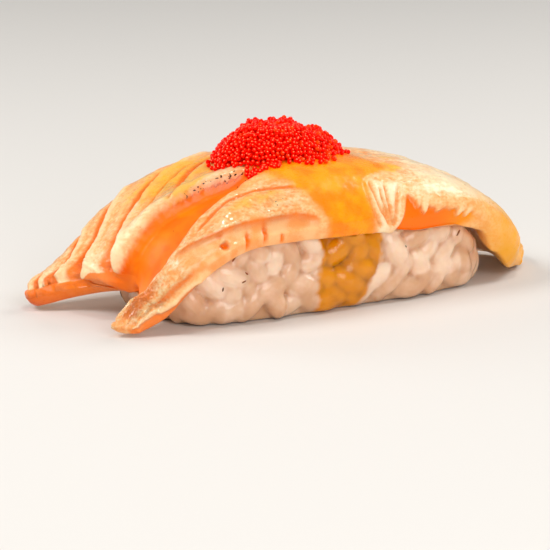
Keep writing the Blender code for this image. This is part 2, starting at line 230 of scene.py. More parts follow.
class Shader:
    def __init__(self, name):
        self.material = bpy.data.materials.new(name)
        self.material.use_nodes = True
        self.tree = self.material.node_tree
        self.surface = self.tree.nodes["Principled BSDF"]
        self.object = self.node("ShaderNodeTexCoord", output="Object")

    def node(self, kind, settings=None, values=None, output=0):  # settings first, then values or links
        made = self.tree.nodes.new(kind)
        for key, value in (settings or {}).items():
            setattr(made, key, value)
        for key, value in (values or {}).items():
            self.feed(made.inputs[key], value)
        return Socket(self, made.outputs[output])

    def feed(self, socket, value):  # a link, a colour or a number
        if isinstance(value, Socket):
            self.tree.links.new(value.link, socket)
        elif isinstance(value, tuple) and len(value) == 3 and socket.type == "RGBA":
            socket.default_value = (*value, 1.0)
        else:
            socket.default_value = value

    def field(self, name):  # a number stored on the mesh's points
        return self.node("ShaderNodeAttribute", {"attribute_name": name}, output="Fac")

    def axis(self, letter):  # the place along X, Y or Z, in metres
        return self.node("ShaderNodeSeparateXYZ", {}, {"Vector": self.object}, letter)

    def noise(self, size, detail=2.0, stretch=(1.0, 1.0, 1.0), move=(0.0, 0.0, 0.0)):
        # soft random spots, size in mm across, drawn out along the axes by stretch
        scale = tuple(1.0 / (size * mm * s) for s in stretch)
        place = self.node("ShaderNodeMapping", {}, {"Vector": self.object, "Location": move, "Scale": scale})
        return self.node("ShaderNodeTexNoise", {}, {"Vector": place, "Scale": 1.0, "Detail": detail})

    def step(self, value, low, high):  # 0 below low, 1 above high
        settings = {"interpolation_type": "SMOOTHSTEP"}
        return self.node("ShaderNodeMapRange", settings, {"Value": value, "From Min": low, "From Max": high})

    def mix(self, share, first, second):  # colours
        return self.node("ShaderNodeMix", {"data_type": "RGBA"}, {0: share, 6: first, 7: second}, 2)

    def paint(self, colour, *coats):  # each coat (share, colour) is laid over those before it
        for share, coat in coats:
            colour = self.mix(share, colour, coat)
        return colour

    def finish(self, colour, roughness, bump, bumpHeight, **constants):  # bumpHeight in mm
        self.feed(self.surface.inputs["Base Color"], colour)
        self.feed(self.surface.inputs["Roughness"], roughness)
        values = {"Height": bump, "Strength": 1.0, "Distance": bumpHeight * mm}
        self.feed(self.surface.inputs["Normal"], self.node("ShaderNodeBump", {}, values))
        for key, value in constants.items():
            self.surface.inputs[key.replace("_", " ")].default_value = value
        return self.material


def srgb(*screen):  # screen values 0 to 255 as a linear colour
    shares = [value / 255 for value in screen]
    return tuple(c / 12.92 if c <= 0.04045 else ((c + 0.055) / 1.055) ** 2.4 for c in shares)


# Camera, floor and light

view = {
    "azimuth": -32.0,  # degrees round from the front
    "elevation": 14.0,
    "distance": 520.0,
    "pixelsPerMm": 6.2,
    "imageSize": 550,
    "originPixel": (306.9, 290.2),
    "originX": 1.44,  # the point that lies at originPixel
    "sensor": 36.0,
    "nearest": 0.01,  # m
}


def addCamera():  # placed back from the point that belongs in the middle of the picture
    turn, lift = math.radians(view["azimuth"]), math.radians(view["elevation"])
    back = Vector((math.sin(turn) * math.cos(lift), -math.cos(turn) * math.cos(lift), math.sin(lift)))
    right = Vector((math.cos(turn), math.sin(turn), 0.0))
    up = back.cross(right)
    middle = view["imageSize"] / 2
    sideways = (middle - view["originPixel"][0]) / view["pixelsPerMm"]
    upwards = (view["originPixel"][1] - middle) / view["pixelsPerMm"]
    target = Vector((view["originX"], 0.0, 0.0)) + right * sideways + up * upwards
    lens = bpy.data.cameras.new("camera")
    lens.sensor_width = view["sensor"]
    lens.lens = view["sensor"] * view["pixelsPerMm"] * view["distance"] / view["imageSize"]
    lens.clip_start = view["nearest"]
    camera = bpy.data.objects.new("camera", lens)
    camera.location = (target + back * view["distance"]) * mm
    camera.rotation_mode = "QUATERNION"
    camera.rotation_quaternion = (-back).to_track_quat("-Z", "Y")
    bpy.context.scene.collection.objects.link(camera)
    bpy.context.scene.camera = camera


studio = {
    "floorSize": 3000.0,
    "floorColour": (222, 220, 217),
    "floorRoughness": 0.75,
    "worldColour": (1.0, 0.985, 0.96),
    "worldStrength": 0.27,
    "lamps": (  # place in mm, size in mm, power in W, colour; each looks at the origin
        ((-300.0, 60.0, 330.0), 170.0, 0.98, (1.0, 0.97, 0.93)),
        ((380.0, -40.0, 330.0), 220.0, 1.10, (1.0, 0.98, 0.95)),
        ((-60.0, -420.0, 190.0), 260.0, 0.98, (1.0, 0.97, 0.94)),
        ((-230.0, 390.0, 200.0), 260.0, 0.65, (1.0, 0.97, 0.93)),
        ((10.0, -120.0, 430.0), 40.0, 0.30, (1.0, 0.98, 0.95)),  # small, for the glints on what is wet
    ),
}


def addStudio():  # a pale floor, soft square lamps that look at the origin, and an even pale world
    half = studio["floorSize"] * mm / 2
    mesh = bpy.data.meshes.new("floor")
    corners = [(-half, -half, 0), (half, -half, 0), (half, half, 0), (-half, half, 0)]
    mesh.from_pydata(corners, [], [(0, 1, 2, 3)])
    floor = bpy.data.objects.new("floor", mesh)
    bpy.context.scene.collection.objects.link(floor)
    paper = Shader("pale_floor")
    paper.feed(paper.surface.inputs["Base Color"], srgb(*studio["floorColour"]))
    paper.feed(paper.surface.inputs["Roughness"], studio["floorRoughness"])
    mesh.materials.append(paper.material)
    for number, (place, size, power, colour) in enumerate(studio["lamps"]):
        lamp = bpy.data.lights.new(f"lamp_{number}", "AREA")
        lamp.size, lamp.energy, lamp.color = size * mm, power, colour
        holder = bpy.data.objects.new(f"lamp_{number}", lamp)
        holder.location = Vector(place) * mm
        holder.rotation_mode = "QUATERNION"
        holder.rotation_quaternion = Vector(place).to_track_quat("Z", "Y")
        bpy.context.scene.collection.objects.link(holder)
    world = bpy.data.worlds.new("studio")
    world.use_nodes = True
    sky = world.node_tree.nodes["Background"]
    sky.inputs["Color"].default_value = (*studio["worldColour"], 1.0)
    sky.inputs["Strength"].default_value = studio["worldStrength"]
    bpy.context.scene.world = world
    bpy.context.scene.view_settings.view_transform = "Standard"


# The salmon slice. Places on it are shares: along runs 0 to 1 from the tails to the tip,
# across -1 to 1 from the front edge to the back one, up 0 to 1 from the lower face to the upper.

salmon = {
    "moveX": 1.44,
    "thickness": 4.6,
    "thinnest": 1.2,
    "halfWidth": 15.2,
    # the lower face's middle line, lengthwise, and how far both edges hang below it
    "lineX": (-42.0, -36.8, -31.5, -26.5, -20.5, -12.0, -2.0, 8.5, 18.5, 27.0, 34.0, 40.6),
    "lineZ": (0.5, 2.4, 7.0, 12.0, 15.8, 18.1, 18.5, 17.1, 14.9, 9.8, 2.6, 0.5),
    "frontDrop": (0.0, 0.2, 1.2, 2.6, 4.0, 5.9, 6.6, 5.2, 3.0, 1.4, 0.4, 0.0),
    "backDrop": (0.0, -1.0, -0.4, 0.6, 1.4, 3.0, 4.6, 4.8, 3.2, 1.4, 0.4, 0.0),
    "middleX": (-31.4, -31.5, -30.6, -27.6, -21.3),  # close down the end of the rice, between the tails
    "middleZ": (4.9, 7.0, 9.6, 12.6, 15.7),
    "taperAlong": (0.0, 0.35, 0.58, 0.70, 0.80, 0.90, 0.96, 1.0),
    "taper": (1.0, 1.0, 1.0, 0.98, 0.89, 0.72, 0.57, 0.42),
    "edgeRound": 0.6,
    "edgeSoftening": 6,
    "crownShare": 0.90,
    "crownPower": 3.0,
    "tailsEnd": 0.20,
    "frontTailY": -8.0,
    "backTailY": 13.2,
    "tailPinch": 0.6,
    "frontTail": (2.2, 2.6, -0.6),  # how much shorter, how round, and where its middle is across
    "backTail": (-1.2, 1.6, 0.55),
    "tipFrom": 0.86,
    "tipRound": 3.2,
    "notchAt": -0.22,  # across, between the tails
    "notchToFront": 0.20,
    "notchToBack": 0.44,
    "lowest": 0.45,
    "hangAlong": (0.56, 0.62, 0.70, 0.765, 0.792, 0.812, 0.84, 0.875, 0.905, 0.94, 0.98),
    "hang": (0.0, 1.3, 1.4, 0.8, 0.9, 2.9, 2.5, 2.0, 1.3, 0.5, 0.0),  # how far the front face hangs down
    "flankLean": 0.10,
    "edgeThinner": 0.25,
    "frontTailThinner": 0.40,
    "backTailThinner": 0.05,
    "tipThinner": 0.35,
    "stations": 330,
    "topCells": 150,
    "topPerLower": 5,  # cells of the upper face to one of the lower
    "frontCells": 24,
    "backCells": 12,
    "endRows": 7,
    "endRound": 1.05,
    "tipEndShare": 0.4,  # of endRound, at the single tip
    "endRadius": 1.3,
    "bumps": ((0.9, (0.60, 0.66), (0.03, 0.10)),),  # height in mm, middle, reach: the one behind the roe
    "endLobes": (-0.12, 0.08, 0.27, 0.46, 0.78, 1.05),  # across; the back tail's flakes end between these
    "lobeRound": 0.5,
    "grainWidth": (1.25, 0.42, 0.6),  # of the streaks in the flesh, in mm along, across and up
    "grainTurn": 0.55,
}
salmonSteps = np.hypot(np.diff(salmon["lineX"]), np.diff(salmon["lineZ"]))
salmonLength = salmonSteps.sum()
salmonKnots = np.concatenate([[0.0], np.cumsum(salmonSteps)]) / salmonLength
salmonScale = np.array([salmonLength, salmon["halfWidth"]])


def crown(across):  # the round over the rice: 0 on the middle, 1 at the long edges
    share, power = salmon["crownShare"], salmon["crownPower"]
    fall = 1.0 - (1.0 - (share * np.abs(across)) ** power) ** (1.0 / power)
    return fall / (1.0 - (1.0 - share**power) ** (1.0 / power))


def underside(along, across):  # the lower face: the lengthwise line, its tails pinched apart by the notch
    s = salmon
    bent = len(s["middleX"])
    width = np.where(across < s["notchAt"], s["notchToFront"], s["notchToBack"])
    notch = bell(across - s["notchAt"], width)
    x = (1 - notch) * through(salmonKnots, s["lineX"], along)
    x = x + notch * through(salmonKnots, s["middleX"] + s["lineX"][bent:], along)
    z = (1 - notch) * through(salmonKnots, s["lineZ"], along)
    z = z + notch * through(salmonKnots, s["middleZ"] + s["lineZ"][bent:], along)
    left = 1.0 - smooth(0.0, s["tailsEnd"], along)
    for (shorter, bulge, middle), fullSide, rim in ((s["frontTail"], -0.5, -1.0), (s["backTail"], 0.4, 1.0)):
        end = shorter + bulge * ((across - middle) / (rim - middle)) ** 2
        x = x + left * smooth(s["notchAt"], fullSide, across) * end
    lobes = np.array(s["endLobes"])
    lobe = np.clip(np.searchsorted(lobes, across) - 1, 0, len(lobes) - 2)
    t = np.clip((across - lobes[lobe]) / (lobes[lobe + 1] - lobes[lobe]), 0, 1)
    x = x + s["lobeRound"] * smooth(0.03, 0.0, along) * smooth(-0.2, -0.1, across) * (2 * t - 1) ** 4
    x = x - smooth(s["tipFrom"], 1.0, along) * s["tipRound"] * across**2
    y = across * s["halfWidth"] * through(s["taperAlong"], s["taper"], along)
    pinch = s["tailPinch"] * (1.0 - smooth(0.0, 0.24, along))
    y = y + pinch * smooth(s["notchAt"], -0.55, across) * (s["frontTailY"] - y)
    y = y + pinch * smooth(s["notchAt"], 0.30, across) * (s["backTailY"] - y)
    frontDrop = through(salmonKnots, s["frontDrop"], along)
    backDrop = through(salmonKnots, s["backDrop"], along)
    z = z - np.where(across < 0, frontDrop, backDrop) * crown(across)
    return np.stack([x + s["moveX"], y, np.maximum(z, s["lowest"])], -1)


gash = {
    "along": (0.00, 0.07, 0.115, 0.15, 0.19, 0.23, 0.27, 0.30, 0.34, 0.38),
    "front": (-0.62, -0.74, -0.79, -0.80, -0.76, -0.70, -0.65, -0.60, -0.52, -0.43),
    "back": (-0.06, -0.12, -0.155, -0.17, -0.175, -0.165, -0.195, -0.22, -0.27, -0.31),
    "depth": 2.3,
    "crest": 0.75,
    "bank": 0.34,  # share of its width that the front side takes to go down
    "waver": 0.018,
}


def gashFields(along, across):  # the parting: depth 0 to 1, mm behind its back edge, share of its width
    wobble = gash["waver"] * noise(along * 44, across * 3, 5, 2)
    front = through(gash["along"], gash["front"], along) + wobble
    back = through(gash["along"], gash["back"], along) + wobble
    share = (across - front) / (back - front)
    deep = smooth(0.40, 0.325, along) * between(share, 0.0, gash["bank"], 0.95, 1.03)
    return deep, (across - back) * salmon["halfWidth"], share


# Lines where one flake ends over the next; the front flake lies on the right of the line as it runs.
flakes = {
    "lines": (  # points (along, across), groove depth in mm, width of the back flake's round edge in mm
        (((-0.05, 0.44), (0.00, 0.46), (0.02, 0.54), (0.035, 0.70), (0.05, 1.05)), 1.2, 1.6),
        (((-0.05, 0.25), (0.00, 0.27), (0.03, 0.33), (0.06, 0.41), (0.092, 0.52), (0.12, 0.70), (0.15, 0.90),
          (0.19, 1.1)), 1.6, 2.2),
        (((-0.05, 0.05), (0.00, 0.08), (0.04, 0.13), (0.08, 0.19), (0.11, 0.28), (0.15, 0.46), (0.185, 0.66),
          (0.23, 0.86), (0.28, 1.10)), 1.8, 2.6),
        (((0.03, -0.10), (0.05, -0.085), (0.09, -0.055), (0.13, -0.02), (0.16, 0.06), (0.20, 0.26), (0.25, 0.44),
          (0.30, 0.59), (0.36, 0.76), (0.42, 0.92)), 1.9, 2.8),
        (((0.236, -0.20), (0.243, -0.14), (0.269, -0.05), (0.309, 0.20), (0.351, 0.37), (0.40, 0.46), (0.45, 0.55)),
         1.3, 1.9),
        (((0.20, 0.04), (0.235, 0.13), (0.27, 0.25), (0.31, 0.38), (0.36, 0.55)), 0.7, 1.4),
        (((0.45, 0.64), (0.56, 0.69), (0.66, 0.66), (0.80, 0.63), (0.91, 0.54)), 0.5, 1.3),
        (((0.55, 0.10), (0.66, 0.17), (0.76, 0.13), (0.86, 0.16), (0.93, 0.12)), 0.4, 1.1),
        (((0.57, -0.34), (0.64, -0.36), (0.72, -0.44), (0.80, -0.47), (0.88, -0.53)), 0.35, 1.0),
    ),
    "fade": 0.04,  # share along over which each line starts and ends
    "steep": 0.32,
    "lip": 0.26,
    "lipAt": 0.9,
}


def flakeRelief(along, across):  # grooves: the back flake rounds down into them, the front one starts sharply; with masks for painted shade in the grooves and a painted highlight on the lips
    warpA = along + 0.005 * noise(along * 30, across * 6, 11, 2)
    warpB = across + 0.030 * noise(along * 26, across * 5, 23, 2)
    relief, grooveShade, ridgePaleAndHighlight = np.zeros((3, *np.shape(along)))
    for line, depth, gentle in flakes["lines"]:
        first, last = line[0][0], line[-1][0]
        gap = lineDistance(line, warpA, warpB, salmonScale)
        fade = between(along, first, first + flakes["fade"], last - flakes["fade"], last)
        rounded = np.clip(1.0 + gap / gentle, 0.0, 1.0) ** 2.2
        cut = np.where(gap > 0, bell(gap, flakes["steep"]), rounded) * fade
        lip = np.where(gap > 0, bell(gap - flakes["lipAt"], flakes["lipAt"]), 0.0) * fade
        relief = relief - depth * (cut - flakes["lip"] * lip) * (0.4 + 0.6 * smooth(0.0, 0.05, along))
        # painted shade: deeper orange down the back flake's round edge and just past the line
        tint = np.where(gap > 0, bell(gap, 0.3), smooth(-0.8 * gentle, -0.15 * gentle, gap)) * fade
        grooveShade = np.maximum(grooveShade, tint * min(1.0, 0.05 + 0.62 * depth))
        # painted highlight along each front flake's lip
        ridgePaleAndHighlight = np.maximum(ridgePaleAndHighlight, lip * min(1.0, 0.6 * depth))
    return relief, grooveShade, ridgePaleAndHighlight


edge = {  # features along the front edge and the front face; places (along, across) or (along, up)
    "faceHeight": 3.4,  # mm, on which the pits are laid out
    "fineLine": ((0.215, -0.78), (0.246, -0.75), (0.296, -0.68), (0.34, -0.70), (0.391, -0.76), (0.43, -0.80)),
    "stepLine": ((0.17, -0.80), (0.188, -0.82), (0.211, -0.87), (0.236, -0.91), (0.268, -0.94), (0.301, -0.96),
                 (0.335, -0.97), (0.384, -0.97), (0.43, -1.0)),
    "lipAlong": (0.00, 0.058, 0.115, 0.156, 0.185, 0.21),
    "lipUp": (0.94, 0.73, 0.55, 0.40, 0.31, 0.15),
    "pits": (  # (along, up), half width and half height in mm, lean, depth in mm
        ((0.250, 0.93), 0.55, 0.85, 0.25, 0.9),
        ((0.289, 0.60), 0.32, 1.25, -0.30, 0.8),
        ((0.322, 0.66), 0.30, 1.40, -0.15, 0.8),
        ((0.352, 0.40), 0.28, 0.80, 0.10, 0.35),
    ),
    "cutAlong": (0.595, 0.615, 0.64, 0.66, 0.70, 0.74, 0.785),
    "cutTop": (1.4, 1.2, 0.2, -0.2, -0.8, -1.0, -2.0),  # mm from the edge
    "cutStart": ((-1.4, 3.6), (0.610, 0.574)),  # mm down from the edge, and along there, on its left
    "cutEnd": ((0.0, 3.6), (0.790, 0.745)),
    "cutDepth": 0.6,
    "teeth": 0.85,  # mm across half a tooth, about
    # how far along the back tail's raw end reaches in on top, at places across
    "rawTop": ((-0.36, -0.24, -0.10, -0.02, 0.06, 0.14), (0.05, 0.075, 0.07, 0.042, 0.018, 0.0)),
    "foldHeight": 0.38,
    "creaseDepth": 0.8,
    "creases": (  # between the folds: points (along, mm from the edge: back over the top +, down the front -)
        ((0.531, 2.6), (0.534, 0.9), (0.540, -0.6), (0.548, -2.4)),
        ((0.543, 2.9), (0.547, 1.2), (0.556, -0.2), (0.566, -2.2)),
        ((0.559, 2.4), (0.561, 0.8), (0.565, -0.8), (0.569, -2.4)),
        ((0.573, 3.1), (0.570, 1.3), (0.571, -0.4), (0.572, -1.6)),
        ((0.597, 2.2), (0.588, 0.8), (0.580, -0.8), (0.575, -2.2)),
    ),
}


def foldCreases(along, fromEdge):  # 1 in the creases between the pale folds right of the sauce
    scale = np.array([salmonLength, 1.0])
    creases = np.zeros(np.shape(along))
    warp = 0.22 * noise(along * 90, fromEdge / 1.5, 47, 2)
    for number, line in enumerate(edge["creases"]):
        gap = lineDistance(line, along, fromEdge, scale) + warp
        top = line[0][1]
        ends = smooth(top + 0.5, top - 0.9, fromEdge) * smooth(-3.0, -2.0, fromEdge)
        creases = np.maximum(creases, bell(gap, 0.28 + 0.06 * (number % 2)) * ends)
    return creases


def frontRelief(along, up):  # the front face: height, raw colour, the lip's mask for a painted highlight, and painted shade in the groove under it
    u, v = along * salmonLength, up * edge["faceHeight"]
    lipGap = (up - through(edge["lipAlong"], edge["lipUp"], along)) * 3.0
    tailSide = smooth(0.225, 0.17, along)
    wavy = 0.6 + 0.4 * noise(u / 1.7, v * 0, 61)
    height = tailSide * (0.85 * wavy * bell(lipGap + 0.1, 0.5) - 0.55 * bell(lipGap - 1.0, 0.75))
    raw = tailSide * smooth(-0.1, -0.6, lipGap) * 0.8
    for (pitAlong, pitUp), halfWide, halfHigh, lean, depth in edge["pits"]:
        du, dv = (along - pitAlong) * salmonLength, (up - pitUp) * edge["faceHeight"]
        pit = np.exp(-(((du + lean * dv) / halfWide) ** 2) - (dv / halfHigh) ** 4)
        height, raw = height - depth * pit, np.maximum(raw, pit * 1.3)
    return height, raw, tailSide * bell(lipGap + 0.1, 0.5), tailSide * bell(lipGap - 1.1, 0.6)


def cutZone(along, fromEdge):  # the orange cut right of the folds: its mask, and the soft teeth along its top
    u = along * salmonLength
    tooth = np.clip(0.5 + noise((u - 0.6 * fromEdge) / edge["teeth"], fromEdge / 9, 83, 2), 0, 1)
    toothSize = 1.0 + 0.3 * noise(u / 1.3, u * 0, 87)
    top = through(edge["cutAlong"], edge["cutTop"], along) - toothSize * tooth * smooth(0.615, 0.65, along)
    start, last = np.interp(-fromEdge, *edge["cutStart"]), np.interp(-fromEdge, *edge["cutEnd"])
    cut = smooth(0.25, -0.45, fromEdge - top) * between(along, start, start + 0.008, last - 0.04, last)
    teeth = bell(fromEdge - top - 0.7, 0.9) * tooth * between(along, 0.61, 0.64, 0.74, 0.80)
    return cut, teeth


def smallRelief(along, across, up, deep):  # relief set on top of the slice's main form, with its colour masks
    relief, grooveShade, ridgePaleAndHighlight = flakeRelief(along, across)
    u, v = along * salmonLength, across * salmon["halfWidth"]
    onTop, onFront, frontHalf = smooth(0.55, 0.95, up), (across < -0.999) * 1.0, across < 0
    calm, wet = 1.0 - deep, sauceMask(along, across)
    frontHeight, raw, lip, lipGrooveShade = frontRelief(along, up)
    fromEdge = np.where(across < -0.999, -(1.0 - up) * 4.0, (across + 1.0) * salmon["halfWidth"])
    cut, teeth = cutZone(along, fromEdge)
    cut, teeth = cut * frontHalf * (up > 0.01), teeth * frontHalf

    # two fine lines on top near the front edge, and the step down to the face below the second
    fineGap = lineDistance(edge["fineLine"], along, across, salmonScale)
    stepGap = lineDistance(edge["stepLine"], along, across, salmonScale)
    nearEdge, fineFade = between(along, 0.17, 0.20, 0.41, 0.44), between(along, 0.215, 0.245, 0.40, 0.43)
    overEdge = nearEdge * smooth(-0.15, 0.30, stepGap) * frontHalf
    under = np.maximum(overEdge, onFront * nearEdge)
    thinLine = np.maximum(bell(fineGap, 0.30) * fineFade, bell(stepGap - 0.1, 0.35) * nearEdge) * onTop

    # the streaks of the front tail's bank, and lumps all over
    flank = smooth(-0.62, -0.80, across) * smooth(0.30, 0.16, along)
    tailBank = onTop * flank * 0.24 * noise(u / 1.5 + v / 2.0, v / 0.42, 71, 3)
    lumps = 0.13 * noise(u / 2.2, v / 1.2, 31, 3) + 0.10 * noise(u / 0.8, v / 0.6, 37, 2)
    lumps = lumps * (1.0 - 0.75 * wet) * calm

    height = onTop * (relief * calm * (1.0 - 0.75 * wet) + tailBank + wet * 0.18)
    height = height + onTop * (-0.35 * bell(fineGap, 0.28) + 0.18 * bell(fineGap - 1.3, 0.9)) * fineFade
    height = height + onTop * ovals(along, across, salmon["bumps"])
    height = height - onTop * 0.55 * overEdge + onTop * 0.22 * bell(stepGap + 0.4, 0.4) * nearEdge
    height = height + lumps * (0.35 + 0.65 * onTop) * (1 - 0.7 * cut) * (1 - 0.7 * under)
    height = height + onFront * frontHeight - edge["cutDepth"] * cut + 0.12 * teeth
    pool = onTop * between(along, -0.01, 0.015, 0.07, 0.20) * bell(across + 0.83, 0.13)
    height = height - 0.10 * pool

    folds = between(along, 0.515, 0.55, 0.580, 0.612) * smooth(4.0, 2.0, fromEdge) * (1 - cut)
    creases = foldCreases(along, fromEdge) * folds * frontHalf
    plump = 0.6 + 0.4 * noise(u / 0.9, fromEdge / 2.0, 53)
    height = height + edge["foldHeight"] * folds * frontHalf * plump - edge["creaseDepth"] * creases
    dry = 1 - wet
    return height, {
        # painted shade: deeper orange in the flake grooves, the fine lines near the front edge, the fold creases
        # and the groove under the lip
        "grooveShade": np.maximum.reduce([grooveShade * calm * onTop * dry, 0.9 * thinLine, 0.36 * creases,
                                     0.5 * lipGrooveShade * onFront]),
        "cut": np.clip(under * 0.9 * (1 - raw) * dry, 0, 1),
        "raw": np.clip(np.maximum(onFront * raw, cut * 1.2), 0, 1),
        "sauce": wet,
        # paler flesh of the cut zone's teeth, with painted highlight on the flake lips and the front tail's lip
        "ridgePaleAndHighlight": np.clip(ridgePaleAndHighlight * calm * onTop * dry + 0.9 * teeth + 0.8 * lip * onFront, 0, 1),
        "pool": pool,
        "folds": folds * frontHalf * (1 - creases),
    }


sauceRun = {  # where the sauce starts and ends along the slice, at places across it
    "across": (-1.0, -0.90, -0.80, -0.70, -0.60, -0.50, -0.30, 0.30),
    "left": (0.446, 0.424, 0.410, 0.398, 0.385, 0.378, 0.375, 0.372),
    "right": (0.540, 0.536, 0.545, 0.572, 0.598, 0.594, 0.578, 0.560),
}


def sauceMask(along, across):  # 1 inside the run of sauce, its rim wavering, soft above and sharper below
    left, right = (through(sauceRun["across"], sauceRun[side], across) for side in ("left", "right"))
    waver = 0.010 * noise(along * 50, across * 8, 91, 3)
    soft = 0.012 + 0.016 * smooth(-0.90, -0.60, across)
    inside = smooth(-soft, soft * 0.6, along - left + waver) * smooth(-0.012, 0.016, right - along + waver)
    return inside * smooth(0.42, 0.25, across)


def sliceFields(along, across):  # the slice's main form over its plain thickness
    deep, behind, share = gashFields(along, across)
    crest = bell(behind - 1.5, 1.4) * smooth(-0.4, 0.1, behind)  # raised and bright just behind the parting; its cream coat is partly painted highlight
    crest = crest * smooth(0.42, 0.30, along) * smooth(-0.01, 0.05, along)
    return gash["crest"] * crest - gash["depth"] * deep, deep, crest, behind, share


def sliceDepth(along, across, height):  # in mm: thinner at its edges and ends, with the ends rounded off
    s = salmon
    thinEdge = 1.0 - s["edgeThinner"] * np.abs(across) ** 8
    tailThinner = np.where(across < s["notchAt"], s["frontTailThinner"], s["backTailThinner"])
    ends = 1.0 - tailThinner * smooth(0.05, 0.0, along) - s["tipThinner"] * smooth(s["tipFrom"], 1.0, along)
    fromEnd = np.minimum(along, 1.0 - along) * salmonLength
    rounded = np.sqrt(np.clip(1.0 - (1.0 - np.clip(fromEnd / s["endRadius"], 0, 1)) ** 2, 0.0, 1.0))
    return np.maximum(s["thickness"] * thinEdge * ends + height, s["thinnest"]) * (0.70 + 0.30 * rounded)


def slicePoint(along, across, up, height):  # the lower face, raised square to the line by the depth
    low = underside(along, across)
    step = 0.002
    run = underside(np.minimum(along + step, 1.0), across) - underside(np.maximum(along - step, 0.0), across)
    length = np.maximum(np.hypot(run[..., 0], run[..., 2]), 1e-9)
    rise = np.stack([-run[..., 2] / length, salmon["flankLean"] * across, run[..., 0] / length], -1)
    point = low + rise * (sliceDepth(along, across, height) * up)[..., None]
    hang = through(salmon["hangAlong"], salmon["hang"], along) * smooth(-0.45, -0.95, across)
    point[..., 2] = np.maximum(point[..., 2] - hang * (1.0 - up), salmon["lowest"])
    return point


def sliceLoop():  # once round the slice: over the top, down the back, under it, up the front
    s = salmon
    lower = s["topCells"] // s["topPerLower"]
    across = [np.linspace(-1, 1, s["topCells"] + 1)[:-1], np.ones(s["backCells"]),
              np.linspace(1, -1, lower + 1)[:-1], -np.ones(s["frontCells"])]
    up = [np.ones(s["topCells"]), np.linspace(1, 0, s["backCells"] + 1)[:-1],
          np.zeros(lower), np.linspace(0, 1, s["frontCells"] + 1)[:-1]]
    return np.concatenate(across), np.concatenate(up)


def closeEnds(rows, around):  # faces that zip the upper and lower edges of the first and last rows
    s = salmon
    lower = s["topCells"] // s["topPerLower"]
    start = s["topCells"] + s["backCells"]
    faces = []
    for row in (0, rows - 1):
        for cell in range(lower):
            top = [cell * s["topPerLower"] + k for k in range(s["topPerLower"] + 1)]
            under = [start + lower - cell - 1, start + lower - cell]
            loop = [row * around + k % around for k in top + under[:1] + under[1:]]
            faces.append(loop if row == 0 else loop[::-1])
    return faces


def normals(points):  # outward directions of a grid that closes on itself sideways
    sideways = np.roll(points, -1, 1) - np.roll(points, 1, 1)
    out = np.cross(sideways, np.gradient(points, axis=0))
    return -out / np.maximum(np.linalg.norm(out, axis=-1, keepdims=True), 1e-9)


def roundEnds(points, middle, fields):  # rows that close both ends, shrinking as a quarter round
    s = salmon
    turn = np.linspace(0, 1, s["endRows"] + 1)[1:]
    parts, extras = [points], {name: [values] for name, values in fields.items()}
    for row, order, outward in ((0, -1, -1.0), (-1, 1, s["tipEndShare"])):
        cap = []
        for t in turn:
            shrunk = middle[row] + (points[row] - middle[row]) * math.sqrt(max(0.0, 1.0 - t * t))
            shrunk[:, 0] += outward * s["endRound"] * t
            cap.append(shrunk)
        parts = [cap[::order]] + parts if row == 0 else parts + [cap]
        for name in extras:
            same = np.repeat(fields[name][row][None], len(turn), 0)
            if name == "end" and row == 0:
                rawEnd = smooth(-0.25, -0.10, fields["across"][row])
                same = np.maximum(same, np.sqrt(turn)[::order, None] * rawEnd)
            extras[name] = [same] + extras[name] if row == 0 else extras[name] + [same]
    return np.concatenate(parts), {name: np.concatenate(values) for name, values in extras.items()}


def addFlow(piece, along, across, up):  # places in a grain that bends with the flakes, in its widths
    u, v, w = along * salmonLength, across * salmon["halfWidth"], up * salmon["thickness"]
    bent = salmon["grainTurn"] * smooth(0.36, 0.12, along)
    flow = np.stack([u + bent * v, v - bent * u, w], -1) / salmon["grainWidth"]
    field = piece.data.attributes.new("flow", "FLOAT_VECTOR", "POINT")
    field.data.foreach_set("vector", flow.astype(np.float32).ravel())


def buildSalmon():  # lower face plus depth, edges softened, small relief along the normals, ends closed
    s = salmon
    loopAcross, loopUp = sliceLoop()
    along, across = np.meshgrid(np.linspace(0, 1, s["stations"] + 1), loopAcross, indexing="ij")
    up = np.broadcast_to(loopUp, along.shape)
    height, deep, crest, behind, share = sliceFields(along, across)
    points = slicePoint(along, across, up, height)
    bulge = s["edgeRound"] * (1.0 - (2.0 * up - 1.0) ** 2) * (np.abs(across) > 0.999)
    points[..., 1] += bulge * np.sign(across)
    for _ in range(s["edgeSoftening"]):
        points = (np.roll(points, 1, 1) + 2 * points + np.roll(points, -1, 1)) / 4
    relief, fields = smallRelief(along, across, up, deep)
    points = points + normals(points) * relief[..., None]
    fields["crest"] = crest * (up > 0.5)
    fields.update(lookFields(along, across, up, deep, behind, share))
    middle = slicePoint(along, across, np.full(along.shape, 0.5), height)
    points, fields = roundEnds(points, middle, fields)
    low, high = np.array(cadBox[0]) / mm, np.array(cadBox[1]) / mm
    print("salmon points outside the box", int(((points < low) | (points > high)).any(-1).sum()))
    points = np.clip(points, low + [0.02, 0.02, 0.1], high - 0.02)
    rows, around = points.shape[:2]
    faces = gridFaces(rows, around) + closeEnds(rows, around)
    piece = newPiece("salmon_slice", points.reshape(-1, 3), faces)
    addFlow(piece, fields["along"].ravel(), fields.pop("across").ravel(), fields.pop("up").ravel())
    for name, values in fields.items():
        addField(piece, name, values)
    faceOutwards(piece, 0.002)
    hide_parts("salmon")
    piece.data.materials.append(salmonMaterial())
    return piece


stainsAndHighlight = {  # soft ovals of colour on the upper face: strength, middle (along, across), reach along and across
    "yellow": (
        (1.0, (0.30, 0.35), (0.09, 0.40)),
        (0.9, (0.28, -0.12), (0.035, 0.07)),
        (0.6, (0.33, -0.80), (0.06, 0.09)),
        (1.3, (0.600, -0.56), (0.035, 0.10)),
        (0.5, (0.64, -0.20), (0.03, 0.12)),
    ),
    "char": ((0.9, (0.358, -0.88), (0.022, 0.06)),),
    # painted highlight: a cream oval on the back edge behind the roe
    "pale": ((1.4, (0.60, 0.66), (0.04, 0.14)),),
}


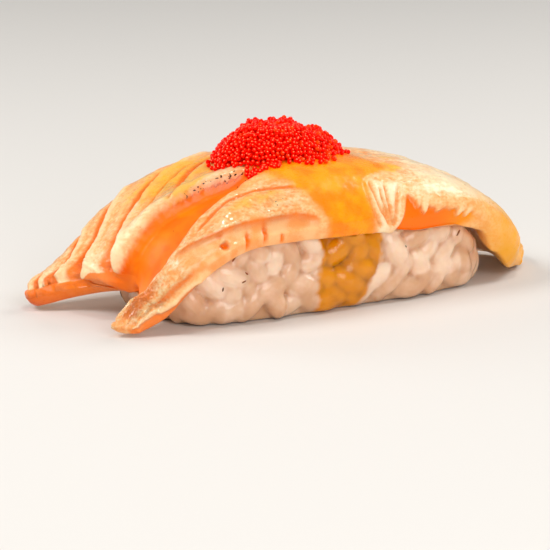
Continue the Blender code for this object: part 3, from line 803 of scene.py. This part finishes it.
def lookFields(along, across, up, deep, behind, share):  # colour masks that have no relief of their own
    top = smooth(0.4, 0.9, up)
    left, backTail = smooth(0.24, 0.06, along), smooth(-0.2, 0.0, across)
    char = 1.2 * bell(behind - 0.25, 0.35) * between(along, 0.255, 0.275, 0.35, 0.385)
    char = char + 0.8 * bell(behind - 0.4, 0.35) * between(along, 0.14, 0.155, 0.19, 0.205)
    char = char + ovals(along, across, stainsAndHighlight["char"])
    char = char + 0.7 * bell(along - 0.345, 0.02) * bell(share - 0.45, 0.3)
    char = char + 0.16 * smooth(0.30, 0.34, along) * smooth(0.98, 0.6, np.abs(across))
    pale = between(along, 0.53, 0.70, 0.84, 1.08) * smooth(-1.02, -0.9, across)
    pale = pale * (1.0 - 0.65 * smooth(0.35, 0.85, across))
    # the oval from the list is a painted highlight; the rest is paler flesh
    pale = pale + ovals(along, across, stainsAndHighlight["pale"]) + 0.5 * left * backTail
    paleEnd = smooth(0.80, 0.98, along) * smooth(-0.35, -0.9, across)
    curd = smooth(-0.55, -0.70, across) * smooth(0.46, 0.38, along) + 0.35 * smooth(0.5, 0.6, along)
    curd = curd + 0.8 * between(along, 0.20, 0.27, 0.42, 0.50) * smooth(0.7, 0.3, np.abs(across))
    curd = curd + 0.5 * backTail * smooth(0.36, 0.25, along)
    tip = along + 0.05 * noise(along * 30, across * 5, 97, 2)
    rawTop = np.interp(across, *edge["rawTop"]) + 0.004 * noise(across * 9, along * 0, 57)
    end = smooth(rawTop, rawTop - 0.010, along) * smooth(-0.42, -0.20, across)
    return {
        "yellow": np.clip(ovals(along, across, stainsAndHighlight["yellow"]) * top, 0, 1),
        "bank": bell(behind + 0.1, 0.55) * between(along, 0.14, 0.22, 0.37, 0.42) * top,
        "char": np.clip(char * top, 0, 1),
        "pale": np.clip(pale * top * (1 - paleEnd), 0, 1),
        "curd": np.clip(curd * top, 0, 1),
        "low": smooth(0.70, 0.86, along) * smooth(-0.30, -0.85, across) + 0.6 * smooth(0.76, 1.05, tip),
        "pit": smooth(0.03, np.where(share < 0.5, 0.42, 0.20), deep) * smooth(1.02, 0.98, share) * (up > 0.5),
        "end": end * (rawTop > 0.002) * (up > 0.1),
        "along": along,
        "across": across,
        "up": up,
    }


def salmonMaterial():  # flesh mottled by three sizes of noise, then one coat of colour for each mask; the groove coat is painted shade, the ridge and crest coats are partly painted highlight, and the milky coat holds a painted highlight oval behind the roe
    m = Shader("seared_salmon")
    grooveShade, pit, crest, cut, raw, end = (m.field(name) for name in ("grooveShade", "pit", "crest", "cut", "raw", "end"))
    yellow, char, pale, low, bank = (m.field(name) for name in ("yellow", "char", "pale", "low", "bank"))
    wet, pool, folds, ridgePaleAndHighlight, along = (m.field(name) for name in ("sauce", "pool", "folds", "ridgePaleAndHighlight", "along"))
    flow = m.node("ShaderNodeAttribute", {"attribute_name": "flow"}, output="Vector")
    streaky = {"Vector": flow, "Scale": 0.8, "Detail": 3.0, "Roughness": 0.6}
    streaks = m.node("ShaderNodeTexNoise", {}, streaky)
    curds = m.noise(0.44, 3.0, (1.3, 1.0, 1.0))
    fine = m.noise(0.15)
    patch = m.noise(3.2)
    blotch = m.noise(1.3, 3.0, (1.4, 1.0, 1.0), move=(0.3, 0.1, 0.7))
    curd = m.field("curd") * (0.45 + 0.75 * m.step(patch * 0.6 + blotch * 0.4, 0.38, 0.62))
    grain = streaks * 0.34 + curds * 0.50 + blotch * 0.26
    light = m.step(grain * 0.6 + patch * 0.5 + (blotch - 0.5) * 0.3, 0.42, 0.72)
    milky = m.step(pale * 0.9 + folds * 0.85 + (patch + grain - 1.0) * 0.9, 0.30, 1.15)
    specks = m.step(m.noise(0.42, 1.0, (1.5, 1.0, 1.0), move=(3.1, 0.0, 0.0)) + char * 0.19, 0.81, 0.86)
    brown = m.step(m.noise(1.1, move=(1.1, 0.0, 0.0)) + char * 0.22, 0.72, 0.95)
    faceFlesh = m.mix(m.step(patch + fine * 0.3, 0.5, 0.8), srgb(250, 158, 84), srgb(255, 194, 134))
    rawFlesh = m.mix(m.step(along, 0.66, 0.76), srgb(252, 118, 0), srgb(254, 158, 8))
    partingFlesh = m.mix(m.step(patch, 0.3, 0.7), srgb(248, 130, 4), srgb(242, 108, 0))
    rawEnd = m.mix(m.step(m.axis("Z") + patch * 0.002, 0.0008, 0.0050), srgb(206, 60, 0), srgb(249, 124, 24))
    glaze = m.mix(m.step(patch, 0.35, 0.65), srgb(255, 134, 0), srgb(255, 160, 0))
    colour = m.paint(
        m.mix(light, srgb(250, 166, 96), srgb(254, 196, 132)),
        (m.step(grain, 0.50, 0.74) * (0.12 + 0.6 * curd), srgb(255, 228, 182)),
        (m.step(0.62 - grain, 0.06, 0.18) * (0.10 + 0.5 * curd), srgb(247, 142, 60)),
        # milky: pale flesh and folds, with the painted highlight oval behind the roe
        (milky * 0.9, srgb(255, 236, 198)),
        # pale flesh and painted highlight on the raised lips and teeth
        (m.step(ridgePaleAndHighlight + grain * 0.3, 0.40, 1.0) * 0.6, srgb(255, 226, 178)),
        # cream flesh and painted highlight on the raised crest
        (crest * (0.5 + 0.4 * light), srgb(255, 232, 188)),
        (m.step(yellow + blotch * 1.1 + grain * 0.5, 1.1, 1.6) * 0.75, srgb(254, 182, 26)),
        (low * (0.5 + 0.4 * patch), srgb(252, 172, 20)),
        # painted shade in the grooves, fine lines and creases
        (m.step(grooveShade, 0.12, 0.62) * 0.9, srgb(248, 118, 10)),
        (cut, faceFlesh),
        (m.step(pool * 1.3 - grain * 0.9, 0.0, 0.6) * 0.8, srgb(216, 104, 24)),
        (raw, rawFlesh),
        (pit, partingFlesh),
        (m.step(end, 0.15, 0.6) * 0.9, rawEnd),
        (wet * 0.97, glaze),
        (bank * 0.5, srgb(228, 112, 0)),
        (brown * 0.4, srgb(190, 92, 20)),
        (specks, srgb(52, 16, 2)),
    )
    roughness = 0.30 + 0.14 * pit - 0.02 * wet + 0.14 * (curds - 0.5) + 0.5 * specks
    bump = (grain * 0.9 + fine * (0.3 + 0.5 * curd)) * (1.0 - 0.88 * m.step(pit + wet + raw, 0.3, 0.9))
    bump = bump * (0.35 + 0.65 * curd) * (1.0 - 0.5 * cut)
    m.feed(m.surface.inputs["Coat Weight"], (0.20 - 0.16 * pit + 0.45 * curd) * (1.0 - specks))
    return m.finish(colour, roughness, bump, 0.30, Subsurface_Weight=0.10, Subsurface_Scale=0.0008,
                    Subsurface_Radius=(1.0, 0.6, 0.3), Coat_Roughness=0.08, Specular_IOR_Level=0.3,
                    Specular_Tint=(1.0, 0.74, 0.48, 1.0))


# The rice: a boxy round core under the slice, with grains lying on it, run together as sticky rice is

rice = {
    "length": 58.0,
    "width": 27.4,
    "middle": (0.44, 0.0, 7.0),
    "sunk": 5.0,  # how far the core's round goes on below the floor
    "power": 4.0,
    "roofGap": 0.35,
    "underSlice": 0.6,
    "coreCells": (96, 60),
    "coreShrink": 0.045,
    "tries": 30000,
    "grains": 300,
    "spacing": 2.9,
    "grainLength": 6.8,
    "grainWidth": 3.8,
    "grainFlat": 0.88,
    "grainBow": 0.16,
    "grainLean": 85.0,  # degrees
    "grainTilt": 0.12,
    "grainSize": (0.86, 1.10),
    "grainStout": (0.92, 1.08),
    "grainSunk": (0.02, 0.22),  # of its width
    "lowest": 0.12,
    "voxel": 0.30,
    "softening": 6,
    "clearOfSlice": 0.3,
    "seed": 41,
}


def riceRoof(x):  # height of the slice's lower face over the middle of the rice, in mm
    along = np.linspace(0.0, 1.0, 200)
    lineX = through(salmonKnots, salmon["lineX"], along) + salmon["moveX"]
    return np.interp(x, lineX, through(salmonKnots, salmon["lineZ"], along)) - rice["roofGap"]


def heightsAbove(tree, points):  # how high the slice's lower face is over each place, in mm
    up = Vector((0, 0, 1))
    found = [tree.ray_cast(Vector((x * mm, y * mm, -0.001)), up)[0] for x, y in points[:, :2]]
    return np.array([99.0 if hit is None else hit.z / mm for hit in found])


def corePoints(sliceTree):  # a globe's grid pushed out to a superellipsoid, kept under the slice
    turnCells, riseCells = rice["coreCells"]
    turn, rise = np.meshgrid(np.linspace(0, 2 * np.pi, turnCells, endpoint=False),
                             np.linspace(-np.pi / 2, np.pi / 2, riseCells), indexing="ij")
    ball = np.stack([np.cos(rise) * np.cos(turn), np.cos(rise) * np.sin(turn), np.sin(rise)], -1)
    ball = ball / ((np.abs(ball) ** rice["power"]).sum(-1, keepdims=True)) ** (1 / rice["power"])
    x = rice["middle"][0] + ball[..., 0] * rice["length"] / 2
    z = (ball[..., 2] + 1) / 2 * (riceRoof(x) + rice["sunk"]) - rice["sunk"]
    core = np.stack([x, ball[..., 1] * rice["width"] / 2, z], -1)
    core[:, 0] = core[:, 0].mean(0)
    core[:, -1] = core[:, -1].mean(0)
    core = np.swapaxes(core, 0, 1).reshape(-1, 3)
    core[:, 2] = np.minimum(core[:, 2], heightsAbove(sliceTree, core) - rice["underSlice"])
    return core


def grainShape(rings=10, sides=12):  # an oval drawn out along X, round across, slightly bowed
    turn = np.linspace(0, 2 * np.pi, sides, endpoint=False)
    rise = np.linspace(-np.pi / 2, np.pi / 2, rings + 1)[1:-1]
    x = np.sin(rise)[:, None] * np.ones(sides)
    wide = (np.cos(rise) ** 0.8)[:, None]
    bow = rice["grainBow"]
    points = np.stack([x, wide * np.cos(turn), wide * np.sin(turn) - bow * x**2], -1).reshape(-1, 3)
    points = np.concatenate([points, [[-1, 0, -bow], [1, 0, -bow]]]) / 2
    count = rings - 1
    last = (count - 1) * sides
    faces = gridFaces(count, sides, flipped=True)
    faces += [[count * sides, (k + 1) % sides, k] for k in range(sides)]
    faces += [[count * sides + 1, last + k, last + (k + 1) % sides] for k in range(sides)]
    return points, faces


def surfacePoints(points, faces, count, random):  # random places on a mesh, even by area, with their normals
    corner = points[np.array(faces)]
    first, second = corner[:, 1] - corner[:, 0], corner[:, 2] - corner[:, 0]
    square = np.cross(first, second)
    area = np.linalg.norm(square, axis=1)
    pick = random.choice(len(faces), count, p=area / area.sum())
    u, v = random.random(count), random.random(count)
    fold = u + v > 1
    u[fold], v[fold] = 1 - u[fold], 1 - v[fold]
    spots = corner[pick, 0] + u[:, None] * first[pick] + v[:, None] * second[pick]
    return spots, square[pick] / np.maximum(area[pick, None], 1e-9)


def spreadOut(spots, spacing, most):  # keeps each place that is far enough from all those kept before it
    kept, cells = [], {}
    around = [(a, b, c) for a in (-1, 0, 1) for b in (-1, 0, 1) for c in (-1, 0, 1)]
    for index, spot in enumerate(spots):
        key = tuple(np.floor(spot / spacing).astype(int))
        near = [cells.get((key[0] + a, key[1] + b, key[2] + c), []) for a, b, c in around]
        if all(np.linalg.norm(spots[other] - spot) >= spacing for group in near for other in group):
            cells.setdefault(key, []).append(index)
            kept.append(index)
            if len(kept) == most:
                break
    return kept


def laidGrain(spot, normal, shape, random):  # a grain's oval turned to lie on the core, leaning at random
    normal = unit(normal)
    side = unit(np.cross([0, 0, 1], normal))
    climb = np.cross(normal, side)
    lean = math.radians(random.uniform(-rice["grainLean"], rice["grainLean"]))
    tilt = random.uniform(-rice["grainTilt"], rice["grainTilt"])
    axis = unit(side * math.cos(lean) + climb * math.sin(lean) + normal * tilt)
    outward = unit(normal - axis * normal.dot(axis))
    size = random.uniform(*rice["grainSize"])
    length = rice["grainLength"] * size
    width = rice["grainWidth"] * size * random.uniform(*rice["grainStout"])
    turn = np.stack([axis * length, np.cross(outward, axis) * width, outward * width * rice["grainFlat"]])
    grain = spot - normal * width * random.uniform(*rice["grainSunk"]) + shape @ turn
    grain[:, 2] += max(0.0, rice["lowest"] - grain[:, 2].min())
    return grain


def buildRice(salmonPiece):  # core and grains remeshed as one skin, clear of the slice, with a film of sauce
    random = np.random.default_rng(rice["seed"])
    sliceTree = treeOf(salmonPiece)
    core = corePoints(sliceTree)
    turnCells, riseCells = rice["coreCells"]
    quads = np.array(gridFaces(riseCells, turnCells, flipped=True))
    triangles = np.concatenate([quads[:, [0, 1, 2]], quads[:, [0, 2, 3]]])
    spots, out = surfacePoints(core, triangles, rice["tries"], random)
    onFlanks = (spots[:, 2] > 0.4) & (out[:, 2] > -0.5) & (out[:, 2] < 0.93)
    spots, out = spots[onFlanks], out[onFlanks]
    shape, grainFaces = grainShape()
    kept = spreadOut(spots, rice["spacing"], rice["grains"])
    grains = [laidGrain(spots[index], out[index], shape, random) for index in kept]
    inner = core + (np.array(rice["middle"]) - core) * rice["coreShrink"]
    inner[:, 2] = np.maximum(inner[:, 2], rice["lowest"])
    faces = repeatedFaces(grainFaces, len(shape), len(grains)) + (quads + len(grains) * len(shape)).tolist()
    piece = newPiece("sushi_rice", np.concatenate(grains + [inner]), faces)
    sticky = piece.modifiers.new("run_together", "REMESH")
    sticky.mode, sticky.voxel_size = "VOXEL", rice["voxel"] * mm
    soft = piece.modifiers.new("soft", "SMOOTH")
    soft.factor, soft.iterations = 0.5, rice["softening"]
    applyModifiers(piece)
    points = readPoints(piece.data)
    roof = heightsAbove(sliceTree, points)
    points[:, 2] = np.clip(points[:, 2], 0.05, np.maximum(roof - rice["clearOfSlice"], 0.05))
    writePoints(piece.data, points)
    addField(piece, "tone", grainTones(piece.data, points, [grain.mean(0) for grain in grains], random))
    hollow = hollows(piece.data, riceSauce["hollowRounds"])
    wet = riceSauceMask(points, hollow)
    film = wet * np.clip(hollow * 1.3 + 0.12, 0, 0.9)
    writePoints(piece.data, points + readNormals(piece.data) * film[:, None])
    addField(piece, "hollow", hollow)
    addField(piece, "sauce", wet)
    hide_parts("rice")
    piece.data.materials.append(riceMaterial())
    print(len(grains), "grains of rice,", len(piece.data.polygons), "faces")
    return piece


def grainTones(mesh, points, middles, random):  # one random tone a grain, blended where grains meet
    tree = KDTree(len(middles))
    for number, middle in enumerate(middles):
        tree.insert(Vector(middle), number)
    tree.balance()
    nearest = np.array([tree.find(Vector(point))[1] for point in points])
    return blurred(mesh, random.random(len(middles))[nearest][:, None], 3)[:, 0]


def blurred(mesh, values, rounds):  # each point's values drawn towards its neighbours' mean, over and over
    edges = np.empty(len(mesh.edges) * 2, np.int32)
    mesh.edges.foreach_get("vertices", edges)
    first, second = edges[0::2], edges[1::2]
    count = np.bincount(first, minlength=len(values)) + np.bincount(second, minlength=len(values))
    for _ in range(rounds):
        total = np.zeros_like(values)
        for column in range(values.shape[1]):
            total[:, column] = np.bincount(first, values[second, column], len(values))
            total[:, column] += np.bincount(second, values[first, column], len(values))
        values = 0.5 * values + 0.5 * total / np.maximum(count, 1)[:, None]
    return values


def hollows(mesh, rounds):  # how far each point lies under its blurred neighbourhood, in mm
    points = readPoints(mesh)
    return ((blurred(mesh, points, rounds) - points) * readNormals(mesh)).sum(1)


riceSauce = {  # the run of sauce down the front: heights in mm, and its left and right sides
    "z": (0.0, 1.3, 2.4, 4.3, 5.5, 7.0, 8.4, 9.7, 11.0, 12.5, 14.5),
    "left": (-5.4, -5.7, -5.7, -5.5, -5.3, -5.1, -5.0, -4.9, -4.9, -5.2, -5.4),
    "right": (1.0, 2.3, 2.8, 3.7, 4.6, 5.9, 6.3, 6.4, 6.4, 6.3, 6.2),
    "hollowRounds": 14,
}


def riceSauceMask(points, hollow):  # 1 between the wavering sides, on the front, less on what stands proud
    x, y, z = points.T
    waver = 0.9 * noise(x / 1.4, z / 1.2, 101, 2)
    left, right = (np.interp(z, riceSauce["z"], riceSauce[side]) for side in ("left", "right"))
    inside = smooth(-0.5, 0.5, x - left + waver) * smooth(-0.5, 0.5, right - x + waver)
    return inside * smooth(-6.0, -8.0, y) * smooth(-0.34, -0.10, hollow + 0.05 * noise(x, z, 107))


def riceMaterial():  # a tone for each grain, painted shade in the hollows and near the floor, sauce over both
    m = Shader("sushi_rice")
    tone, hollow, wet = m.field("tone"), m.field("hollow"), m.field("sauce")
    fine = m.noise(0.5)
    patch = m.noise(2.6)
    colour = m.paint(
        m.mix(m.step(tone * 0.6 + patch * 0.8, 0.25, 1.15), srgb(220, 172, 134), srgb(252, 222, 196)),
        # painted shade in the hollows between grains
        (m.step(hollow, 0.0, 0.18) * 0.6, srgb(204, 142, 94)),
        # painted shade near the floor
        (m.step(m.axis("Z") + patch * 0.004, 0.0085, 0.002) * 0.55, srgb(206, 154, 112)),
        (wet, m.mix(m.step(hollow + patch * 0.3, 0.0, 0.5), srgb(228, 146, 0), srgb(158, 86, 0))),
    )
    m.feed(m.surface.inputs["Coat Weight"], 0.35 - 0.2 * wet)
    roughness = 0.24 + 0.1 * (fine - 0.5)
    return m.finish(colour, roughness, fine, 0.06, Subsurface_Weight=0.7, Subsurface_Scale=0.0022,
                    Subsurface_Radius=(1.0, 0.68, 0.42), Coat_Roughness=0.06, Specular_IOR_Level=0.4)


# Slivers of herb and pepper that stick to the rice

flecks = {
    "front": (  # x and z on the front, length in mm, lean in degrees
        (-20.2, 10.9, 1.5, 62.0),
        (-18.4, 8.3, 0.8, -40.0),
        (-19.0, 7.1, 0.9, 15.0),
        (-22.2, 6.1, 0.7, 80.0),
        (21.8, 9.6, 1.2, 55.0),
        (10.6, 9.1, 0.6, -30.0),
    ),
    "others": 11,
    "othersTurn": (-15, 195),  # degrees round from the right end
    "othersHeight": (2.0, 9.0),
    "othersLength": (0.6, 1.4),
    "width": 0.32,
    "thick": 0.16,
    "far": 60.0,  # where the rays start
    "seed": 5,
}


def buildFlecks(ricePiece):  # grain ovals drawn out thin, laid where rays from outside meet the rice
    random = np.random.default_rng(flecks["seed"])
    tree = treeOf(ricePiece)
    inwards = (0.0, 1.0, 0.0)
    wanted = [((x, -flecks["far"], z), inwards, length, lean) for x, z, length, lean in flecks["front"]]
    for _ in range(flecks["others"]):
        turn, z = math.radians(random.uniform(*flecks["othersTurn"])), random.uniform(*flecks["othersHeight"])
        out = np.array([math.cos(turn), math.sin(turn), 0.0])
        place = out * flecks["far"] + [0.0, 0.0, z]
        wanted.append((place, -out, random.uniform(*flecks["othersLength"]), random.uniform(-90, 90)))
    shape, shapeFaces = grainShape(6, 8)
    points = []
    for place, towards, length, lean in wanted:
        hit, normal = tree.ray_cast(Vector(place) * mm, Vector(towards))[:2]
        if hit is None:
            continue
        side = normal.cross(Vector((0, 0, 1))).normalized()
        axis = Matrix.Rotation(math.radians(lean), 3, normal) @ side
        turned = np.array([axis * length, normal.cross(axis) * flecks["width"], normal * flecks["thick"]])
        points.append(np.array(hit) / mm + shape @ turned)
    faces = repeatedFaces(shapeFaces, len(shape), len(points))
    piece = newPiece("herb_flecks", np.concatenate(points), faces)
    faceOutwards(piece)
    piece.data.materials.append(fleckMaterial())
    print(len(points), "herb flecks")


def fleckMaterial():  # olive here, brown there
    m = Shader("herb_flecks")
    colour = m.mix(m.step(m.noise(6.0), 0.4, 0.6), srgb(84, 66, 18), srgb(150, 74, 16))
    return m.finish(colour, 0.45, m.noise(0.3), 0.04)


# The roe: a heap of small eggs on the slice

roe = {
    "middle": (-3.86, 1.0),
    "halfLength": 11.6,
    "halfWidth": 7.3,
    "sideways": (-15.8, -14.8, -12.7, -10.0, -7.2, -4.0, -1.1, 1.8, 4.2, 5.6),  # mm to the camera's right
    "heights": (1.3, 2.8, 3.8, 4.6, 4.7, 4.8, 3.3, 3.4, 2.2, 0.7),
    "egg": 0.76,
    "eggSize": (0.92, 1.10),
    "spacing": 0.58,
    "tries": 90000,
    "triesReach": 1.15,
    "rim": 0.985,
    "bedPlaces": 1500,  # where the slice under the heap is measured
    "lift": 0.45,
    "heapTop": 27.75,
    "eggTop": 27.95,
    "layerDrop": 0.55,
    "wander": 0.12,
    "proud": 0.35,  # how far one egg in ten stands up
    "most": 1700,
    "strays": 60,
    "straysReach": (0.98, 1.10),
    "strayGroups": (((-5.0, 2.2), (-8.3, -6.2), 34), ((-13.0, -8.0), (-7.4, -4.4), 160)),  # x, y, how many
    "strayLift": 0.30,
    "straySpacing": 0.56,
    "mostStrays": 260,
    "coreRings": 14,
    "coreAround": 60,
    "coreReach": (0.02, 0.90),
    "coreTop": 27.9,
    "coreUnder": 0.62,  # how far the core lies under the heap's top
    # how far up, and how scattered, each egg's painted highlight spot faces
    "glintUp": 0.75,
    "glintWander": 0.22,
    "seed": 9,
}


def fromRoe(reachX, reachY):  # a place by its reach from the heap's middle, 1 at the rim
    return roe["middle"][0] + roe["halfLength"] * reachX, roe["middle"][1] + roe["halfWidth"] * reachY


def reachOf(x, y):  # the reverse
    return (x - roe["middle"][0]) / roe["halfLength"], (y - roe["middle"][1]) / roe["halfWidth"]


def roeHeap(x, y):  # the heap's height over the slice, and how near the rim: 1 at the rim
    u, v = reachOf(x, y)
    angle = np.arctan2(v, u)
    wavy = 1.0 + 0.03 * np.sin(3 * angle + 2.0) + 0.05 * noise(angle * 2.4, angle * 0 + 3.0, 13, 2)
    reach = np.hypot(u, v) / wavy
    turn = math.radians(view["azimuth"])
    sideways = (x - view["originX"]) * math.cos(turn) + y * math.sin(turn)
    height = through(roe["sideways"], roe["heights"], sideways)
    lump = 1.0 + 0.13 * noise(x / 2.0, y / 2.0, 29)
    return height * lump * (1.0 - np.clip(reach, 0, 1) ** 2.4) ** 0.62, reach


def seatsOn(tree, x, y):  # heights of the slice's upper face, in mm
    down = Vector((0, 0, -1))
    return np.array([tree.ray_cast(Vector((a * mm, b * mm, 0.1)), down)[0].z / mm for a, b in zip(x, y)])


def bedTerms(x, y):  # the terms of a plane bent both ways, which is fitted to the slice under the heap
    return np.stack([np.ones_like(x), x, y, x * x, x * y, y * y], 1)


def heapSpots(random, tree):  # middles of the heap's eggs in two layers, and the fitted bed
    reachX, reachY = (random.uniform(-roe["triesReach"], roe["triesReach"], roe["tries"]) for _ in range(2))
    x, y = fromRoe(reachX, reachY)
    heap, reach = roeHeap(x, y)
    inside = reach < roe["rim"]
    x, y, heap = x[inside], y[inside], heap[inside]
    some = slice(0, roe["bedPlaces"])
    bed = np.linalg.lstsq(bedTerms(x[some], y[some]), seatsOn(tree, x[some], y[some]), rcond=None)[0]
    top = bedTerms(x, y) @ bed + roe["lift"] + heap
    top = np.minimum(top, roe["heapTop"] - 0.25 * random.random(len(heap)))
    layer = random.integers(0, 2, len(x))
    z = top - layer * roe["layerDrop"] - random.uniform(0, roe["wander"], len(x))
    z = z + roe["proud"] * (random.random(len(x)) > 0.9)
    spots = np.stack([x, y, np.minimum(z, roe["eggTop"])], -1)
    return spots[spreadOut(spots, roe["spacing"], roe["most"])], bed


def straySpots(random, tree):  # lone eggs round the rim and in the groups, seated on the slice
    turn = random.uniform(0, 2 * np.pi, roe["strays"])
    far = random.uniform(*roe["straysReach"], roe["strays"])
    x, y = fromRoe(far * np.cos(turn), far * np.sin(turn))
    for sideX, sideY, count in roe["strayGroups"]:
        x = np.concatenate([x, random.uniform(*sideX, count)])
        y = np.concatenate([y, random.uniform(*sideY, count)])
    spots = np.stack([x, y, seatsOn(tree, x, y) + roe["strayLift"]], -1)
    return spots[spreadOut(spots, roe["straySpacing"], roe["mostStrays"])]


def roeCore(bed, start):  # the closed mound under the eggs, its faces numbered from start
    rings, around = roe["coreRings"], roe["coreAround"]
    ring, angle = np.meshgrid(np.linspace(*roe["coreReach"], rings),
                              np.linspace(0, 2 * np.pi, around, endpoint=False), indexing="ij")
    x, y = (side.ravel() for side in fromRoe(ring * np.cos(angle), ring * np.sin(angle)))
    floor = bedTerms(x, y) @ bed
    top = np.minimum(floor + roe["lift"] + roeHeap(x, y)[0], roe["coreTop"]) - roe["coreUnder"]
    low = floor - 0.3
    points = np.stack([np.tile(x, 2), np.tile(y, 2), np.concatenate([np.maximum(top, low + 0.1), low])], -1)
    half, last = rings * around, start + (rings - 1) * around
    quads = np.array(gridFaces(rings, around, flipped=True))
    faces = (quads + start).tolist() + (quads[:, ::-1] + start + half).tolist()
    faces.append([start + k for k in range(around)][::-1])
    faces.append([start + half + k for k in range(around)])
    for k in range(around):
        following = (k + 1) % around
        faces.append([last + k, last + half + k, last + half + following, last + following])
    return points, faces


def eggShape():  # a ball 1 across, from a twice divided icosahedron
    ball = bmesh.new()
    bmesh.ops.create_icosphere(ball, subdivisions=2, radius=0.5)
    shape = np.array([v.co[:] for v in ball.verts])
    faces = [[v.index for v in f.verts] for f in ball.faces]
    ball.free()
    return shape, faces


def buildRoe(salmonPiece):  # a ball at every spot, over a closed mound
    random = np.random.default_rng(roe["seed"])
    sliceTree = treeOf(salmonPiece)
    heap, bed = heapSpots(random, sliceTree)
    spots = np.concatenate([heap, straySpots(random, sliceTree)])
    shape, eggFaces = eggShape()
    size = roe["egg"] * random.uniform(*roe["eggSize"], len(spots))
    eggs = (spots[:, None, :] + shape[None] * size[:, None, None]).reshape(-1, 3)
    core, coreFaces = roeCore(bed, len(eggs))
    faces = repeatedFaces(eggFaces, len(shape), len(spots)) + coreFaces
    piece = newPiece("flying_fish_roe", np.concatenate([eggs, core]), faces)
    faceOutwards(piece)
    tone = np.repeat(random.random(len(spots)), len(shape))
    addField(piece, "tone", np.concatenate([tone, np.zeros(len(core))]))
    # painted highlight and painted shade: 1 on each egg's side facing away from the heap's middle, falling to -1 on
    # its inner side; the core gets -1, so it takes the painted shade
    away = np.stack([*reachOf(spots[:, 0], spots[:, 1]), np.full(len(spots), roe["glintUp"])], -1)
    away = away + random.uniform(-roe["glintWander"], roe["glintWander"], spots.shape)
    away /= np.linalg.norm(away, axis=1, keepdims=True)
    addField(piece, "glintAndShade", np.concatenate([(away @ (shape.T * 2)).ravel(), -np.ones(len(core))]))
    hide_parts("roe")
    piece.data.materials.append(roeMaterial())
    print("roe", len(spots), "eggs")


def roeMaterial():  # red to orange by egg, with a painted highlight spot on each egg's outer side, painted shade on its inner side and over the core, and a faint painted red glow
    m = Shader("red_roe")
    tone, glintAndShade = m.field("tone"), m.field("glintAndShade")
    colour = m.paint(
        m.mix(m.step(tone + m.axis("X") * 14.0, 0.70, 1.1), (0.96, 0.003, 0.0), (1.0, 0.085, 0.003)),
        # painted highlight: a light orange spot on each egg's outer side
        (m.step(glintAndShade, 0.87, 0.99) * 0.8, (1.0, 0.34, 0.14)),
        # painted shade: darker red on each egg's inner side and over the core
        (m.step(glintAndShade, 0.30, -0.5) * 0.5, (0.72, 0.0, 0.0)),
    )
    # painted glow: a faint red emission, though the roe is no lamp
    return m.finish(colour, 0.07, tone, 0.0, Subsurface_Weight=0.25, Subsurface_Scale=0.0006,
                    Subsurface_Radius=(1.0, 0.06, 0.02), Specular_IOR_Level=0.3,
                    Specular_Tint=(1.0, 0.3, 0.15, 1.0), Emission_Color=(1.0, 0.01, 0.0, 1.0),
                    Emission_Strength=0.03)


print("camera and studio")
addCamera()
addStudio()
salmonPiece = buildSalmon()
ricePiece = buildRice(salmonPiece)
buildFlecks(ricePiece)
buildRoe(salmonPiece)
